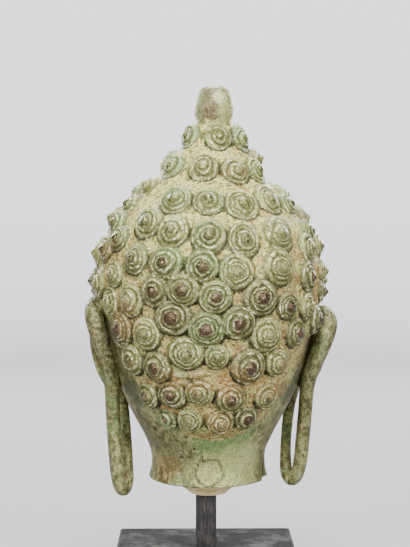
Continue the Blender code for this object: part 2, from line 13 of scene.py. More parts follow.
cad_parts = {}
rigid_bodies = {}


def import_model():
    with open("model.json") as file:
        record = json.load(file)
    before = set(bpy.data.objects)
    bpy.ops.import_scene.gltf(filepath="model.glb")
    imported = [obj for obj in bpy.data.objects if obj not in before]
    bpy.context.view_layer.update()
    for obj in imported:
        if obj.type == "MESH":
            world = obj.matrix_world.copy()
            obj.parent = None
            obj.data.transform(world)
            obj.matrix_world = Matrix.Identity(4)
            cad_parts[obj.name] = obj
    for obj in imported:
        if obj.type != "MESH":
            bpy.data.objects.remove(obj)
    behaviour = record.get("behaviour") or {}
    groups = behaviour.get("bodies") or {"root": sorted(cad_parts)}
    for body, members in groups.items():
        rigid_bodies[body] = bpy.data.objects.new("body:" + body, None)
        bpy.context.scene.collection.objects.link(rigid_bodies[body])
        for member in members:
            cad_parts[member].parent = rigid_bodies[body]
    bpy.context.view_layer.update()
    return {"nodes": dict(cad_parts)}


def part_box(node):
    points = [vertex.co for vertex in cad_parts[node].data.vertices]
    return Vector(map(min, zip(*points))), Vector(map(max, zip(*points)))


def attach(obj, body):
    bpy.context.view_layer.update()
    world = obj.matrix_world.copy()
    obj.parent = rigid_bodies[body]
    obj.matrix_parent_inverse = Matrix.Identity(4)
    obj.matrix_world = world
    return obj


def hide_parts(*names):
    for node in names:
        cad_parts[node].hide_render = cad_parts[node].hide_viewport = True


bl_info = {
    "name": "Bronze buddha head on a stand",
    "version": (1, 0, 0),
    "blender": (4, 5, 0),
    "location": "View3D > Sidebar > Bronze head",
    "description": "Builds a patinated bronze head with snail-shell curls, its plug, rod and block",
    "category": "Add Mesh",
}

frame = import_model()
BLOCK_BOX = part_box("base_block")
HEAD_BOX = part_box("bronze_head")

MM = 0.001


def colour(code):
    """Linear values of an sRGB hex colour."""
    channels = [int(code[i:i + 2], 16) / 255.0 for i in (1, 3, 5)]
    return [c / 12.92 if c <= 0.04045 else ((c + 0.055) / 1.055) ** 2.4 for c in channels]


# Proportions of the figure, in units of a 265th of its height: a millimetre at the real size
UNITS_HIGH = 265.0

# Sections of the head without its curls, from the rim up: height, half-width, reach back and forward
SECTIONS = (
    (0.0, 40.3, 41.0, 41.0),
    (5.0, 39.1, 39.6, 39.8),
    (11.0, 38.5, 38.8, 40.5),
    (17.0, 39.0, 39.3, 52.0),
    (22.0, 40.6, 40.8, 62.5),
    (30.0, 44.2, 44.6, 67.0),
    (44.0, 51.5, 53.5, 69.0),
    (60.0, 58.8, 62.3, 70.5),
    (80.0, 65.2, 71.0, 72.0),
    (100.0, 69.5, 76.5, 74.0),
    (120.0, 72.3, 79.5, 75.5),
    (140.0, 72.6, 79.6, 74.8),
    (155.0, 69.8, 76.0, 71.2),
    (168.0, 64.2, 69.5, 65.2),
    (180.0, 55.6, 59.8, 56.2),
    (190.0, 46.2, 49.2, 46.6),
    (200.0, 36.8, 38.6, 37.0),
    (211.0, 28.2, 29.2, 28.4),
    (222.0, 20.4, 20.9, 20.5),
    (232.0, 14.6, 14.8, 14.7),
    (240.5, 12.4, 12.4, 12.4),
    (245.5, 13.2, 13.2, 13.2),
    (251.0, 13.4, 13.4, 13.4),
    (257.5, 11.9, 11.9, 11.9),
    (262.5, 8.2, 8.2, 8.2),
    (265.0, 2.5, 2.5, 2.5),
)
FINIAL_FOOT = 236.0
FINIAL_SHIFT = -4.0
FINIAL_LEAN_FROM = 182.0
FINIAL_LEAN_TO = 228.0
FACE_SQUARENESS = 2.25
FACE_FOOT = 14.0
FACE_TOP = 150.0

# Lower edge of the hair: turn from the front in degrees, height
HAIR_EDGE = (
    (0.0, 150.0),
    (28.0, 149.0),
    (54.0, 133.0),
    (74.0, 118.0),
    (92.0, 112.0),
    (108.0, 110.0),
    (116.0, 98.0),
    (121.0, 82.0),
    (128.0, 69.0),
    (140.0, 55.0),
    (148.0, 46.0),
    (160.0, 37.0),
    (180.0, 33.0),
)
HAIR_CAP_RISE = 1.4
HAIR_CAP_BLEND = 2.5

# Curls of the back from the top down: turn from the back in degrees, height, share of the diameter
BACK_CURLS = (
    (-63, 229, 0.79), (2, 228, 0.90), (53, 227, 0.90),
    (-56, 208, 0.88), (-15, 207, 0.97), (20, 205, 0.94), (50, 206, 0.88),
    (-70, 195, 0.72), (-72, 183, 0.81), (-29, 186, 1.04), (-6, 185, 0.97), (16, 183, 1.10), (40, 186, 1.02),
    (62, 183, 0.86), (-86, 174, 0.86), (-42, 172, 1.02), (-25, 167, 1.02), (-6, 164, 1.07), (12, 162, 1.04),
    (34, 165, 1.12), (55, 156, 0.97), (78, 156, 0.86), (-71, 155, 0.88), (-60, 162, 0.84),
    (-58, 140, 0.84), (-44, 150, 0.95), (-27, 148, 1.05), (-9, 146, 1.02), (7, 143, 1.07), (30, 145, 1.12),
    (51, 138, 0.90), (75, 140, 0.81), (-62, 122, 0.95), (-46, 124, 0.99), (-32, 131, 0.95), (-18, 132, 1.01),
    (-3, 128, 1.01), (19, 127, 1.11), (35, 121, 0.86), (51, 119, 0.88), (72, 127, 0.75),
    (-55, 105, 1.11), (-38, 104, 1.03), (-23, 115, 1.11), (-7, 108, 1.11), (8, 112, 1.02), (23, 104, 1.08),
    (43, 103, 0.92), (-50, 86, 0.99), (-34, 83, 0.99), (-17, 93, 1.05), (-2, 91, 0.77), (15, 84, 1.12),
    (32, 85, 0.88), (-43, 63, 0.84), (-27, 65, 0.93), (-11, 67, 0.88), (7, 63, 0.92), (30, 63, 0.86),
    (-34, 48, 0.75), (-18, 48, 0.79), (2, 47, 0.86), (19, 49, 0.77),
)
BACK_REACH = 62

# Rings of curls for the rest: height at the back, count, turn of the first curl from the back in degrees
CURL_RINGS = (
    (230.0, 6, 3.0),
    (209.5, 8, -21.0),
    (189.0, 15, -6.0),
    (167.5, 17, -5.0),
    (147.0, 19, -8.0),
    (128.5, 20, -2.0),
    (109.5, 20, -6.0),
    (90.5, 19, 2.0),
    (65.5, 16, -10.0),
    (46.0, 15, -18.0),
)
RING_RISE_AT_FRONT = 9.0
RISE_FADES_FROM = 160.0
RISE_FADES_TO = 210.0
HAIRLINE_CURLS = 11
HAIRLINE_REACH = 76.0
HAIRLINE_CURL_SHARE = 0.84
HAIRLINE_CURL_RISE = 0.46
RING_CURL_SHARE = 0.95
CURL_SPREAD = 0.08
CURL_LEVELLING = 0.5
CURL_SINK = 0.95
SMALL_CURL_RISE = 0.85
CLOSEST_CURLS = 0.70
CURL_TO_HAIR_EDGE = 0.42
HAIR_EDGE_SLACK = 0.06
FILL_CURL_SHARE = 0.80
FILL_CLEARANCE = 0.92
FILL_STEP_HEIGHT = 4.0
FILL_STEP_TURN = 6
TOUCHING_CURLS = 1.06
PUSHES = 8
PUSH_SHARE = 0.4
SEED = 11

# Rim of an ear as one rope, from the temple over the top and round the split lobe: place and radius
EAR_ROPE = (
    (64.5, -14.0, 90.0, 3.6),
    (69.0, -13.5, 102.0, 4.4),
    (73.5, -6.0, 110.5, 5.4),
    (77.8, 4.5, 113.5, 6.2),
    (78.5, 12.5, 106.5, 6.7),
    (74.0, 17.0, 92.5, 6.4),
    (68.0, 16.5, 77.0, 5.8),
    (65.8, 13.5, 62.0, 5.1),
    (65.2, 10.8, 47.0, 5.0),
    (64.0, 9.0, 28.0, 5.0),
    (62.6, 7.4, 10.0, 4.9),
    (60.8, 4.4, -1.5, 4.6),
    (57.6, -0.6, -5.6, 4.7),
    (55.2, -5.8, -0.5, 4.6),
    (55.0, -8.6, 14.0, 3.9),
    (56.2, -9.2, 32.0, 3.9),
    (58.0, -9.2, 48.0, 4.2),
    (60.5, -7.6, 62.0, 5.0),
    (62.5, -3.0, 74.0, 4.6),
)
EAR_FOLD = (
    (67.0, -8.0, 78.0, 3.4),
    (70.0, -3.5, 86.0, 3.4),
    (73.0, 2.5, 95.0, 3.2),
    (74.5, 5.0, 103.0, 2.8),
)
EAR_SHELL_PLACE = (69.4, 2.0, 86.0)
EAR_SHELL_REACH = (4.6, 17.0, 28.0)
EAR_BUD_PLACE = (69.0, -11.0, 80.0)
EAR_BUD_REACH = (4.5, 3.6, 6.0)
EAR_TURN = math.radians(32.0)
EAR_LEAN = math.radians(14.0)

# The two ears differ: height of the top, share of the length, how far the top stands further out
EAR_TOP = 113.5
EARS = {"left": (117.5, 1.064, -1.6), "right": (109.8, 0.962, 1.6)}
EAR_VOXEL = 1.05
EAR_DETAIL_KEPT = 0.45

# The box round an ear, where the finish is bare skin
EAR_INNER = 66.0
EAR_FRONT = -17.0
EAR_BACK = 26.0
EAR_ABOVE = 118.0

# The neck: depth and width of its hollow, and the marks at the back with their turn from the back in degrees
HOLLOW_DEPTH = 7.6
HOLLOW_RADIUS = 34.8
PATCH = {"turn": -5.0, "height": 10.2, "radius": 8.6, "sides": 5, "ridge": 0.55, "sunk": 0.35}
CHIP = {"turn": 68.0, "height": 1.0, "reach": 6.5, "rise": 9.5, "depth": 2.2}
NECK_PITS = (
    (-32.0, 19.5, 1.5),
    (-18.0, 25.5, 1.3),
    (-12.0, 20.0, 1.1),
    (-10.0, 17.0, 1.2),
    (-15.0, 14.0, 1.0),
    (-33.0, 31.0, 1.1),
    (-52.0, 38.0, 1.6),
)
PIT_DEPTH = 1.2
NECK_MARKS_TOP = 45.0

# The flattened remains of a curl at the back, and the ledge under it
BROKEN_CURL = {"turn": -15.0, "height": 79.5, "length": 12.5, "rise": 3.0, "stand": 3.6}

# A curl's coil narrows towards its nub, and old dirt fills the scalp except in the clefts between curls
COIL_WIDENING = 0.6
GROOVE_SHARPNESS = 2.2
NUB_STEP = 0.07
OUTER_BAND = 0.76
SCALP_FILL = 1.7
SCALP_FILL_REACH = 3.6
CLEFT_WIDTH = 2.6

# Heights over its surroundings at which a point counts as fully worn, and depths at which it is fully sunk
WORN_HEIGHT = 0.10
SUNK_DEPTH = 1.6

# Fineness of the head's own form and of a curl
CURL_COLUMNS = 25
HEAD_COLUMNS = 224
HEAD_RINGS = ((0.0, 24.0, 22), (25.1, 150.0, 114), (152.5, 236.0, 32), (238.0, 264.6, 20))
FRONT_CROWDING = 0.42


def smooth_step(low, high, value):
    """0 below low, 1 above high, and an even curve between them."""
    share = min(1.0, max(0.0, (value - low) / (high - low)))
    return share * share * (3.0 - 2.0 * share)


def hill(x, z, place_x, place_z, reach_x, reach_z):
    """A rounded mound of height 1."""
    return math.exp(-(((x - place_x) / reach_x) ** 2) - ((z - place_z) / reach_z) ** 2)


def blended(rows, at):
    """The row of values at a place between rows, on a smooth curve through them."""
    at = min(rows[-1][0], max(rows[0][0], at))
    i = max(n for n in range(len(rows) - 1) if rows[n][0] <= at)
    low, high = rows[i], rows[i + 1]
    before, after = rows[max(i - 1, 0)], rows[min(i + 2, len(rows) - 1)]
    span = high[0] - low[0]
    t = (at - low[0]) / span
    values = []
    for k in range(1, len(low)):
        slope_low = (high[k] - before[k]) / (high[0] - before[0]) * span
        slope_high = (after[k] - low[k]) / (after[0] - low[0]) * span
        values.append(
            (2 * t**3 - 3 * t**2 + 1) * low[k]
            + (t**3 - 2 * t**2 + t) * slope_low
            + (3 * t**2 - 2 * t**3) * high[k]
            + (t**3 - t**2) * slope_high
        )
    return values


def hair_edge(turn):
    """Height of the hair's lower edge at a turn from the front."""
    return blended(HAIR_EDGE, abs(math.degrees(math.remainder(turn, 2 * math.pi))))[0]


def brow_height(x):
    """Height of the brow's arch, which springs from the root of the nose."""
    return 100.5 + 15.5 * math.sin(math.pi * (x + 3.0) / 70.0)


def brow_and_socket(x, z):
    """The arched brow's ridge, and the hollow under it."""
    below = brow_height(x) - z
    ridge = 0.9 * math.exp(-(((below + 1.0) / 2.4) ** 2)) * (1.0 - smooth_step(50.0, 60.0, x))
    hollow = smooth_step(-0.5, 2.6, below) * (1.0 - smooth_step(7.0, 25.0, below))
    across = smooth_step(4.0, 11.0, x) * (1.0 - smooth_step(44.0, 58.0, x))
    return ridge - 3.6 * hollow * across


def lowered_eye(x, z):
    """The full upper lid over the ball, the narrow opening below it and the lower lid."""
    lens = ((x - 29.5) / 17.5) ** 2 + ((z - 92.0) / 10.0) ** 2
    ball = 4.8 * max(0.0, 1.0 - lens) ** 0.8
    along = (x - 13.5) / 33.0
    if not 0.0 < along < 1.0:
        return ball
    bow = math.sin(math.pi * along)
    lid = 89.6 + 2.4 * along - 3.4 * bow
    opening = smooth_step(lid - 3.0 * bow - 0.4, lid - 3.0 * bow + 0.4, z)
    opening *= 1.0 - smooth_step(lid - 0.5, lid + 0.3, z)
    fold = math.exp(-(((z - lid - 8.5 * bow**0.7) / 0.9) ** 2)) * smooth_step(0.0, 0.2, bow)
    rolled_edge = math.exp(-(((z - lid - 0.9) / 1.0) ** 2)) * bow
    return ball - 1.5 * opening * bow**0.3 - 0.6 * fold + 0.5 * rolled_edge


def nose(x, z):
    """A straight bridge from the brows to a rounded tip, with full wings and a sharp underside."""
    down = smooth_step(108.0, 72.0, z) if z < 72.0 else 1.0 - smooth_step(72.0, 108.0, z)
    ridge = 3.0 + 8.8 * down
    breadth = 5.4 + 3.2 * down
    bridge = ridge * math.exp(-((x / breadth) ** 2.0)) * (1.0 - smooth_step(100.0, 114.0, z))
    tip = 2.2 * hill(x, z, 0.0, 73.0, 7.0, 6.5)
    wing = 6.4 * hill(x, z, 10.2, 70.5, 4.8, 5.4)
    nostril = 2.2 * hill(x, z, 5.6, 66.6, 2.4, 1.8)
    return (bridge + tip + wing) * smooth_step(64.6, 69.4, z) - nostril


def mouth(x, z):
    """Full lips with a bowed upper edge and slightly lifted corners, and the hollow below them."""
    mound = 3.6 * hill(x, z, 0.0, 52.5, 25.0, 15.0)
    line = 52.0 + 1.8 * (x / 20.0) ** 2
    share = max(0.0, 1.0 - (x / 21.0) ** 2)
    upper = line + 6.3 * share**0.85 - 1.3 * math.exp(-((x / 2.6) ** 2)) * share + 0.01
    lower = line - 7.6 * max(0.0, 1.0 - (x / 18.0) ** 2) ** 0.8 - 0.01
    lip = 0.0
    if line <= z < upper:
        lip = 2.6 * math.sin(math.pi * (z - line) / (upper - line)) ** 0.6
    if lower < z < line:
        lip = 3.0 * math.sin(math.pi * (line - z) / (line - lower)) ** 0.6
    parting = math.exp(-(((z - line) / 1.0) ** 2)) * smooth_step(0.0, 0.1, share)
    groove = 0.7 * hill(x, z, 0.0, 62.0, 2.6, 4.0)
    return mound + lip - 1.3 * parting - groove - 2.0 * hill(x, z, 0.0, 41.0, 13.0, 3.6)


def face_relief(x, z):
    """How far the face stands forward of the plain head, in units, for half of the face."""
    chin = 3.6 * hill(x, z, 0.0, 30.0, 14.0, 10.0)
    cheek = 2.0 * hill(x, z, 38.0, 70.0, 17.0, 18.0)
    return brow_and_socket(x, z) + lowered_eye(x, z) + nose(x, z) + mouth(x, z) + chin + cheek


def head_point(turn, height):
    """A point of the head without its curls, in units. Turn 0 is the front, and grows towards +X."""
    half_width, back, front = blended(SECTIONS, height)
    side, ahead = math.sin(turn), math.cos(turn)
    on_face = smooth_step(12.0, 30.0, height) * (1.0 - smooth_step(140.0, 165.0, height))
    power = 2.0 / (2.0 + (FACE_SQUARENESS - 2.0) * on_face * smooth_step(0.0, 0.3, ahead))
    x = half_width * math.copysign(abs(side) ** power, side)
    reach = front if ahead > 0.0 else back
    y = -reach * math.copysign(abs(ahead) ** power, ahead)
    x += FINIAL_SHIFT * smooth_step(FINIAL_LEAN_FROM, FINIAL_LEAN_TO, height)
    if height < FINIAL_FOOT:
        cap = HAIR_CAP_RISE * smooth_step(0.0, HAIR_CAP_BLEND, height - hair_edge(turn))
        x += cap * side
        y -= cap * ahead
    if FACE_FOOT < height < FACE_TOP and ahead > 0.1:
        y -= face_relief(abs(x), height) * smooth_step(0.1, 0.35, ahead)
    return Vector((x, y, height))


def head_normal(turn, height):
    """The outward direction of the head's surface."""
    step_turn, step_height = 0.06, 3.0
    along = head_point(turn + step_turn, height) - head_point(turn - step_turn, height)
    up = head_point(turn, height + step_height) - head_point(turn, height - step_height)
    return along.cross(up).normalized()


def off_the_back(turn):
    """Whether a place lies outside the part of the hair whose curls have their own places."""
    return math.cos(turn) > -math.cos(math.radians(BACK_REACH))


def above_hair_edge(turn, level, size, diameter):
    """Whether a curl stands on the hair."""
    return level > hair_edge(turn) + (CURL_TO_HAIR_EDGE - HAIR_EDGE_SLACK) * size * diameter


def clear_of(places, turn, level, size, share, diameter):
    """Whether a curl has room on the scalp, as a share of the distance at which two curls touch."""
    here = head_point(turn, level)
    reach = share * diameter / 2.0
    return all((here - other[3]).length >= reach * (size + other[2]) for other in places)


def pushed_apart(places, fixed, diameter):
    """The places after crowded curls have pushed one another along the scalp. The first ones stay put."""
    touching = TOUCHING_CURLS * diameter / 2.0
    moved = places[:fixed]
    for i, (turn, level, size, here) in enumerate(places[fixed:], fixed):
        push = Vector()
        for j, (_, _, other_size, there) in enumerate(places):
            apart = here - there
            short = touching * (size + other_size) - apart.length
            if i != j and short > 0.0:
                push += apart.normalized() * short * PUSH_SHARE
        along = Vector((math.cos(turn), math.sin(turn), 0.0))
        turn += push.dot(along) / max(Vector((here.x, here.y)).length, 1.0)
        lowest = hair_edge(turn) + CURL_TO_HAIR_EDGE * size * diameter
        level = min(CURL_RINGS[0][0], max(lowest, level + push.z))
        moved.append((turn, level, size, head_point(turn, level)))
    return moved


def curl_places(diameter):
    """Turn, height, diameter share and point of every curl: hairline, back, rings, then the fill."""
    luck = random.Random(SEED)
    places = []
    for n in range(HAIRLINE_CURLS):
        turn = math.radians(HAIRLINE_REACH * (2.0 * n / (HAIRLINE_CURLS - 1) - 1.0))
        size = HAIRLINE_CURL_SHARE * luck.uniform(0.97, 1.03)
        level = hair_edge(turn) + HAIRLINE_CURL_RISE * size * diameter
        places.append((turn, level, size, head_point(turn, level)))
    for degrees, level, size in BACK_CURLS:
        turn = math.pi + math.radians(degrees)
        places.append((turn, level, size, head_point(turn, level)))
    fixed = len(places)
    for height, count, first in CURL_RINGS:
        for n in range(count):
            off = luck.uniform(-CURL_SPREAD, CURL_SPREAD)
            turn = math.pi + math.radians(first) + 2.0 * math.pi * (n + off) / count
            rise = RING_RISE_AT_FRONT * (1.0 + math.cos(turn)) / 2.0
            rise *= 1.0 - smooth_step(RISE_FADES_FROM, RISE_FADES_TO, height)
            level = height + rise + luck.uniform(-CURL_SPREAD, CURL_SPREAD) * diameter
            size = RING_CURL_SHARE + luck.uniform(-CURL_SPREAD, CURL_SPREAD)
            fits = off_the_back(turn) and above_hair_edge(turn, level, size, diameter)
            if fits and clear_of(places, turn, level, size, CLOSEST_CURLS, diameter):
                places.append((turn, level, size, head_point(turn, level)))
    for _ in range(PUSHES):
        places = pushed_apart(places, fixed, diameter)
    steps = int((CURL_RINGS[0][0] - CURL_RINGS[-1][0]) / FILL_STEP_HEIGHT)
    for step in range(steps):
        level = CURL_RINGS[0][0] - step * FILL_STEP_HEIGHT
        for degrees in range(0, 360, FILL_STEP_TURN):
            turn = math.radians(degrees)
            fits = off_the_back(turn) and above_hair_edge(turn, level, FILL_CURL_SHARE, diameter)
            if fits and clear_of(places, turn, level, FILL_CURL_SHARE, FILL_CLEARANCE, diameter):
                places.append((turn, level, FILL_CURL_SHARE, head_point(turn, level)))
    return places


def mesh_of(name, shape):
    """A mesh from a bmesh, which is freed."""
    made = bpy.data.meshes.new(name)
    shape.to_mesh(made)
    shape.free()
    return made


def add_object(name, mesh, group=None):
    made = bpy.data.objects.new(name, mesh)
    (group or bpy.context.scene.collection).objects.link(made)
    return made


def evaluated_mesh(made):
    """The object's mesh with its modifiers applied."""
    graph = bpy.context.evaluated_depsgraph_get()
    return bpy.data.meshes.new_from_object(made.evaluated_get(graph))


def angle_from_back(turn, degrees):
    """Signed turn between a place and one stated from the back, in radians."""
    return math.remainder(turn - math.pi - math.radians(degrees), 2 * math.pi)


def past_patch(turn, height):
    """Distance outwards from the outline of the repair patch in the neck."""
    around = angle_from_back(turn, PATCH["turn"]) * SECTIONS[2][1]
    up = height - PATCH["height"]
    corner = 2.0 * math.pi / PATCH["sides"]
    flat = PATCH["radius"] * math.cos(corner / 2.0)
    edge = flat / math.cos(math.remainder(math.atan2(around, up), corner))
    return math.hypot(around, up) - 0.65 * edge - 0.35 * PATCH["radius"]


def pitted(turn, height):
    """How deep a place lies in one of the neck's casting pits, from 0 to 1."""
    deepest = 0.0
    for degrees, level, radius in NECK_PITS:
        away = math.hypot(angle_from_back(turn, degrees) * SECTIONS[2][1], height - level)
        deepest = max(deepest, 1.0 - smooth_step(0.4 * radius, 1.3 * radius, away))
    return deepest


def chipped(turn, height):
    """Whether a place lies in the chip of the neck's rim, from 0 to 1."""
    aside = abs(angle_from_back(turn, CHIP["turn"])) * SECTIONS[0][1]
    return 1.0 - smooth_step(0.75, 1.0, aside / CHIP["reach"] + (height - CHIP["height"]) / CHIP["rise"])


def neck_marks(turn, height):
    """Relief at the back of the neck: the outlined repair patch, the chipped rim and the pits."""
    past = past_patch(turn, height)
    ridge = PATCH["ridge"] * math.exp(-((past / 0.9) ** 2))
    relief = ridge - PATCH["sunk"] * (1.0 - smooth_step(-1.6, -0.6, past))
    return relief - CHIP["depth"] * chipped(turn, height) - PIT_DEPTH * pitted(turn, height)


def neck_scars(turn, height):
    """How dark the neck's marks are: the line round the patch, the pits and the chip."""
    line = math.exp(-(((past_patch(turn, height) - 0.9) / 0.85) ** 2))
    return max(line, pitted(turn, height), 0.8 * chipped(turn, height))


def weathering(place, roughness):
    """Low swellings and pocks of a worn lost-wax surface."""
    broad = noise.noise(place / 11.0)
    fine = noise.noise(place / 3.1 + Vector((7.0, 3.0, 5.0)))
    return roughness * (broad + 0.45 * fine)


def cleft_between(places, place):
    """How far a point lies in the narrow cleft between two curls side by side, and its gap to a curl."""
    gaps = sorted(((place - middle).length - reach, n) for n, (middle, reach) in enumerate(places))
    (gap, first), (second_gap, second) = gaps[:2]
    apart = places[first][0] - places[second][0]
    beside = 1.0 - smooth_step(0.35, 0.80, abs(apart.z) / max(apart.length, 0.001))
    return beside * (1.0 - smooth_step(0.4 * CLEFT_WIDTH, CLEFT_WIDTH, second_gap)), gap


def fill_between(places, place):
    """How much old dirt raises the scalp at a point, from how near the curls round it are."""
    cleft, gap = cleft_between(places, place)
    return SCALP_FILL * (1.0 - smooth_step(0.0, SCALP_FILL_REACH, gap)) * (1.0 - cleft)


def search_tree(points):
    """A tree that finds the points nearest to a place, by their number."""
    tree = kdtree.KDTree(len(points))
    for n, point in enumerate(points):
        tree.insert(point, n)
    tree.balance()
    return tree


def head_form(roughness, curls):
    """The head without curls or ears: a sphere whose rings are drawn out to the sections and the face."""
    heights = []
    for low, high, count in HEAD_RINGS:
        heights += [low + (high - low) * n / (count - 1) for n in range(count)]
    tree = search_tree([middle for middle, _ in curls])
    shape = bmesh.new()
    rings = len(heights)
    bmesh.ops.create_uvsphere(shape, u_segments=HEAD_COLUMNS, v_segments=rings + 1, radius=1.0)
    for vert in shape.verts:
        ring = round((1.0 - math.acos(max(-1.0, min(1.0, vert.co.z))) / math.pi) * (rings + 1)) - 1
        if ring < 0:
            vert.co = (0.0, 0.0, 0.0)
            continue
        if ring == rings:
            vert.co = (FINIAL_SHIFT, 0.0, UNITS_HIGH)
            continue
        turn = math.atan2(vert.co.x, -vert.co.y)
        turn -= FRONT_CROWDING * math.sin(turn)
        height = heights[ring]
        place = head_point(turn, height)
        relief = weathering(place, roughness)
        if height < NECK_MARKS_TOP and math.cos(turn) < 0.0:
            relief += neck_marks(turn, height)
        if HAIR_EDGE[-1][1] < height < CURL_RINGS[0][0]:
            near = [curls[n] for _, n, _ in tree.find_n(place, 3)]
            relief += fill_between(near, place) * smooth_step(-1.0, 3.0, height - hair_edge(turn))
        flat = Vector((math.sin(turn), -math.cos(turn), 0.0))
        vert.co = place + flat * relief * (1.0 - smooth_step(258.0, 264.0, height))
    return mesh_of("head_form", shape)


def curl_profile():
    """Share of the radius and height of each ring of a curl, from its nub out and down into the scalp."""
    rows = []
    for share in [0.10, 0.20] + [0.28 + 0.064 * n for n in range(11)]:
        outer_roll = 0.06 * math.exp(-(((share - 0.84) / 0.09) ** 2))
        rows.append((share, 1.0 - 0.70 * share**1.4 + outer_roll))
    return rows + [(0.98, 0.26), (1.01, 0.08), (1.01, -0.12), (0.96, -0.45)]


def curl_shape(sizes, coil):
    """A snail-shell curl of diameter and height 1: a low dome, its groove wound clockwise to the nub."""
    profile = curl_profile()
    shape = bmesh.new()
    rings = len(profile)
    bmesh.ops.create_uvsphere(shape, u_segments=CURL_COLUMNS, v_segments=rings + 1, radius=1.0)
    for vert in shape.verts:
        ring = round(math.acos(max(-1.0, min(1.0, vert.co.z))) / math.pi * (rings + 1)) - 1
        around = math.atan2(vert.co.y, vert.co.x)
        if ring < 0:
            vert.co = (0.0, 0.0, 1.0)
            continue
        if ring == rings:
            vert.co = (0.0, 0.0, profile[-1][1])
            continue
        share, level = profile[ring]
        winding = (1.0 - share**COIL_WIDENING) * coil["turns"] + around / (2.0 * math.pi) + coil["start"]
        valley = (0.5 + 0.5 * math.cos(2.0 * math.pi * winding)) ** GROOVE_SHARPNESS
        fade = smooth_step(0.30, 0.55, share) * (1.0 - smooth_step(OUTER_BAND, OUTER_BAND + 0.08, share))
        level -= sizes.groove_depth * coil["depth"] * valley * fade
        level -= NUB_STEP * smooth_step(0.6 * coil["nub"], 1.4 * coil["nub"], share)
        vert.co = (0.5 * share * math.cos(around), 0.5 * share * math.sin(around), level)
    return shape


def coil_of(size, sizes, luck):
    """What makes one curl differ from the next."""
    return {
        "turns": sizes.curl_turns * luck.uniform(0.65, 1.15) * (0.4 + 0.6 * size),
        "start": luck.random(),
        "nub": luck.uniform(0.16, 0.22),
        "depth": luck.uniform(0.6, 1.0),
        "oval": luck.uniform(0.96, 1.04),
        "tone": luck.random(),
    }


def curl_matrix(turn, level, size, oval, sizes):
    """Stands a curl on the scalp, facing between the surface's own direction and the level."""
    outward = head_normal(turn, level)
    outward.z *= CURL_LEVELLING
    facing = outward.normalized().to_track_quat("Z", "Y").to_matrix().to_4x4()
    width = size * sizes.curl_diameter / MM
    tall = sizes.curl_height / MM * CURL_SINK * (SMALL_CURL_RISE + (1.0 - SMALL_CURL_RISE) * size)
    return Matrix.Translation(head_point(turn, level)) @ facing @ Matrix.Diagonal(
        (width * oval, width / oval, tall, 1.0)
    )


def rope_mesh(name, rows, sign, ear, sides):
    """A closed rope through rows of place and radius, on one side of the head."""
    top, length, flare = ear
    numbered = [(float(n), *row) for n, row in enumerate(rows)]
    steps = 6
    points = [blended(numbered, n / steps) for n in range((len(rows) - 1) * steps + 1)]
    line = bpy.data.curves.new(name, "CURVE")
    line.dimensions = "3D"
    line.bevel_depth = 1.0
    line.bevel_resolution = sides // 4
    line.use_fill_caps = True
    spline = line.splines.new("POLY")
    spline.points.add(len(points) - 1)
    for point, (x, y, z, radius) in zip(spline.points, points):
        out = x + flare * smooth_step(60.0, EAR_TOP, z)
        point.co = (sign * out, y, top - (EAR_TOP - z) * length, 1.0)
        point.radius = radius
    guide = add_object(name, line)
    made = evaluated_mesh(guide)
    bpy.data.objects.remove(guide)
    return made


def add_blob(shape, place, reach, sign, lean, turn):
    """An ellipsoid in a bmesh."""
    made = bmesh.ops.create_uvsphere(shape, u_segments=32, v_segments=20, radius=1.0)["verts"]
    leaned = Matrix.Rotation(-sign * turn, 4, "Z") @ Matrix.Rotation(sign * lean, 4, "Y")
    where = Matrix.Translation((sign * place[0], place[1], place[2]))
    bmesh.ops.transform(shape, matrix=where @ leaned @ Matrix.Diagonal((*reach, 1.0)), verts=made)


def add_ear(side, sign, group):
    """A long ear: its rope-like rim with the split lobe, the fold inside, the bowl and the front bud."""
    shape = bmesh.new()
    shape.from_mesh(rope_mesh("ear_rim", EAR_ROPE, sign, EARS[side], 16))
    shape.from_mesh(rope_mesh("ear_fold", EAR_FOLD, sign, EARS[side], 12))
    bmesh.ops.remove_doubles(shape, verts=shape.verts, dist=0.001)
    add_blob(shape, EAR_SHELL_PLACE, EAR_SHELL_REACH, sign, EAR_LEAN, EAR_TURN)
    add_blob(shape, EAR_BUD_PLACE, EAR_BUD_REACH, sign, 0.0, EAR_TURN)
    bmesh.ops.recalc_face_normals(shape, faces=shape.faces)
    made = add_object(f"ear_{side}", mesh_of(f"ear_{side}", shape), group)
    fused = made.modifiers.new("fuse", "REMESH")
    fused.mode = "VOXEL"
    fused.voxel_size = EAR_VOXEL
    soft = made.modifiers.new("soften", "SMOOTH")
    soft.iterations = 3
    soft.factor = 0.6
    thin = made.modifiers.new("thin", "DECIMATE")
    thin.ratio = EAR_DETAIL_KEPT
    mesh = evaluated_mesh(made)
    made.modifiers.clear()
    made.data = mesh
    return made


def add_broken_curl(group):
    """The flattened bar that is left of a curl at the back."""
    turn = math.pi + math.radians(BROKEN_CURL["turn"])
    place = head_point(turn, BROKEN_CURL["height"])
    outward = head_normal(turn, BROKEN_CURL["height"])
    shape = bmesh.new()
    made = bmesh.ops.create_uvsphere(shape, u_segments=28, v_segments=14, radius=1.0)["verts"]
    for vert in made:
        vert.co.z *= 1.0 + 0.25 * math.sin(5.0 * vert.co.x)
        vert.co.y += 0.2 * math.sin(2.6 * vert.co.x)
    reach = Matrix.Diagonal((BROKEN_CURL["length"], BROKEN_CURL["rise"], BROKEN_CURL["stand"], 1.0))
    facing = outward.to_track_quat("Z", "Y").to_matrix().to_4x4()
    bmesh.ops.transform(shape, matrix=Matrix.Translation(place) @ facing @ reach, verts=made)
    return add_object("broken_curl", mesh_of("broken_curl", shape), group)


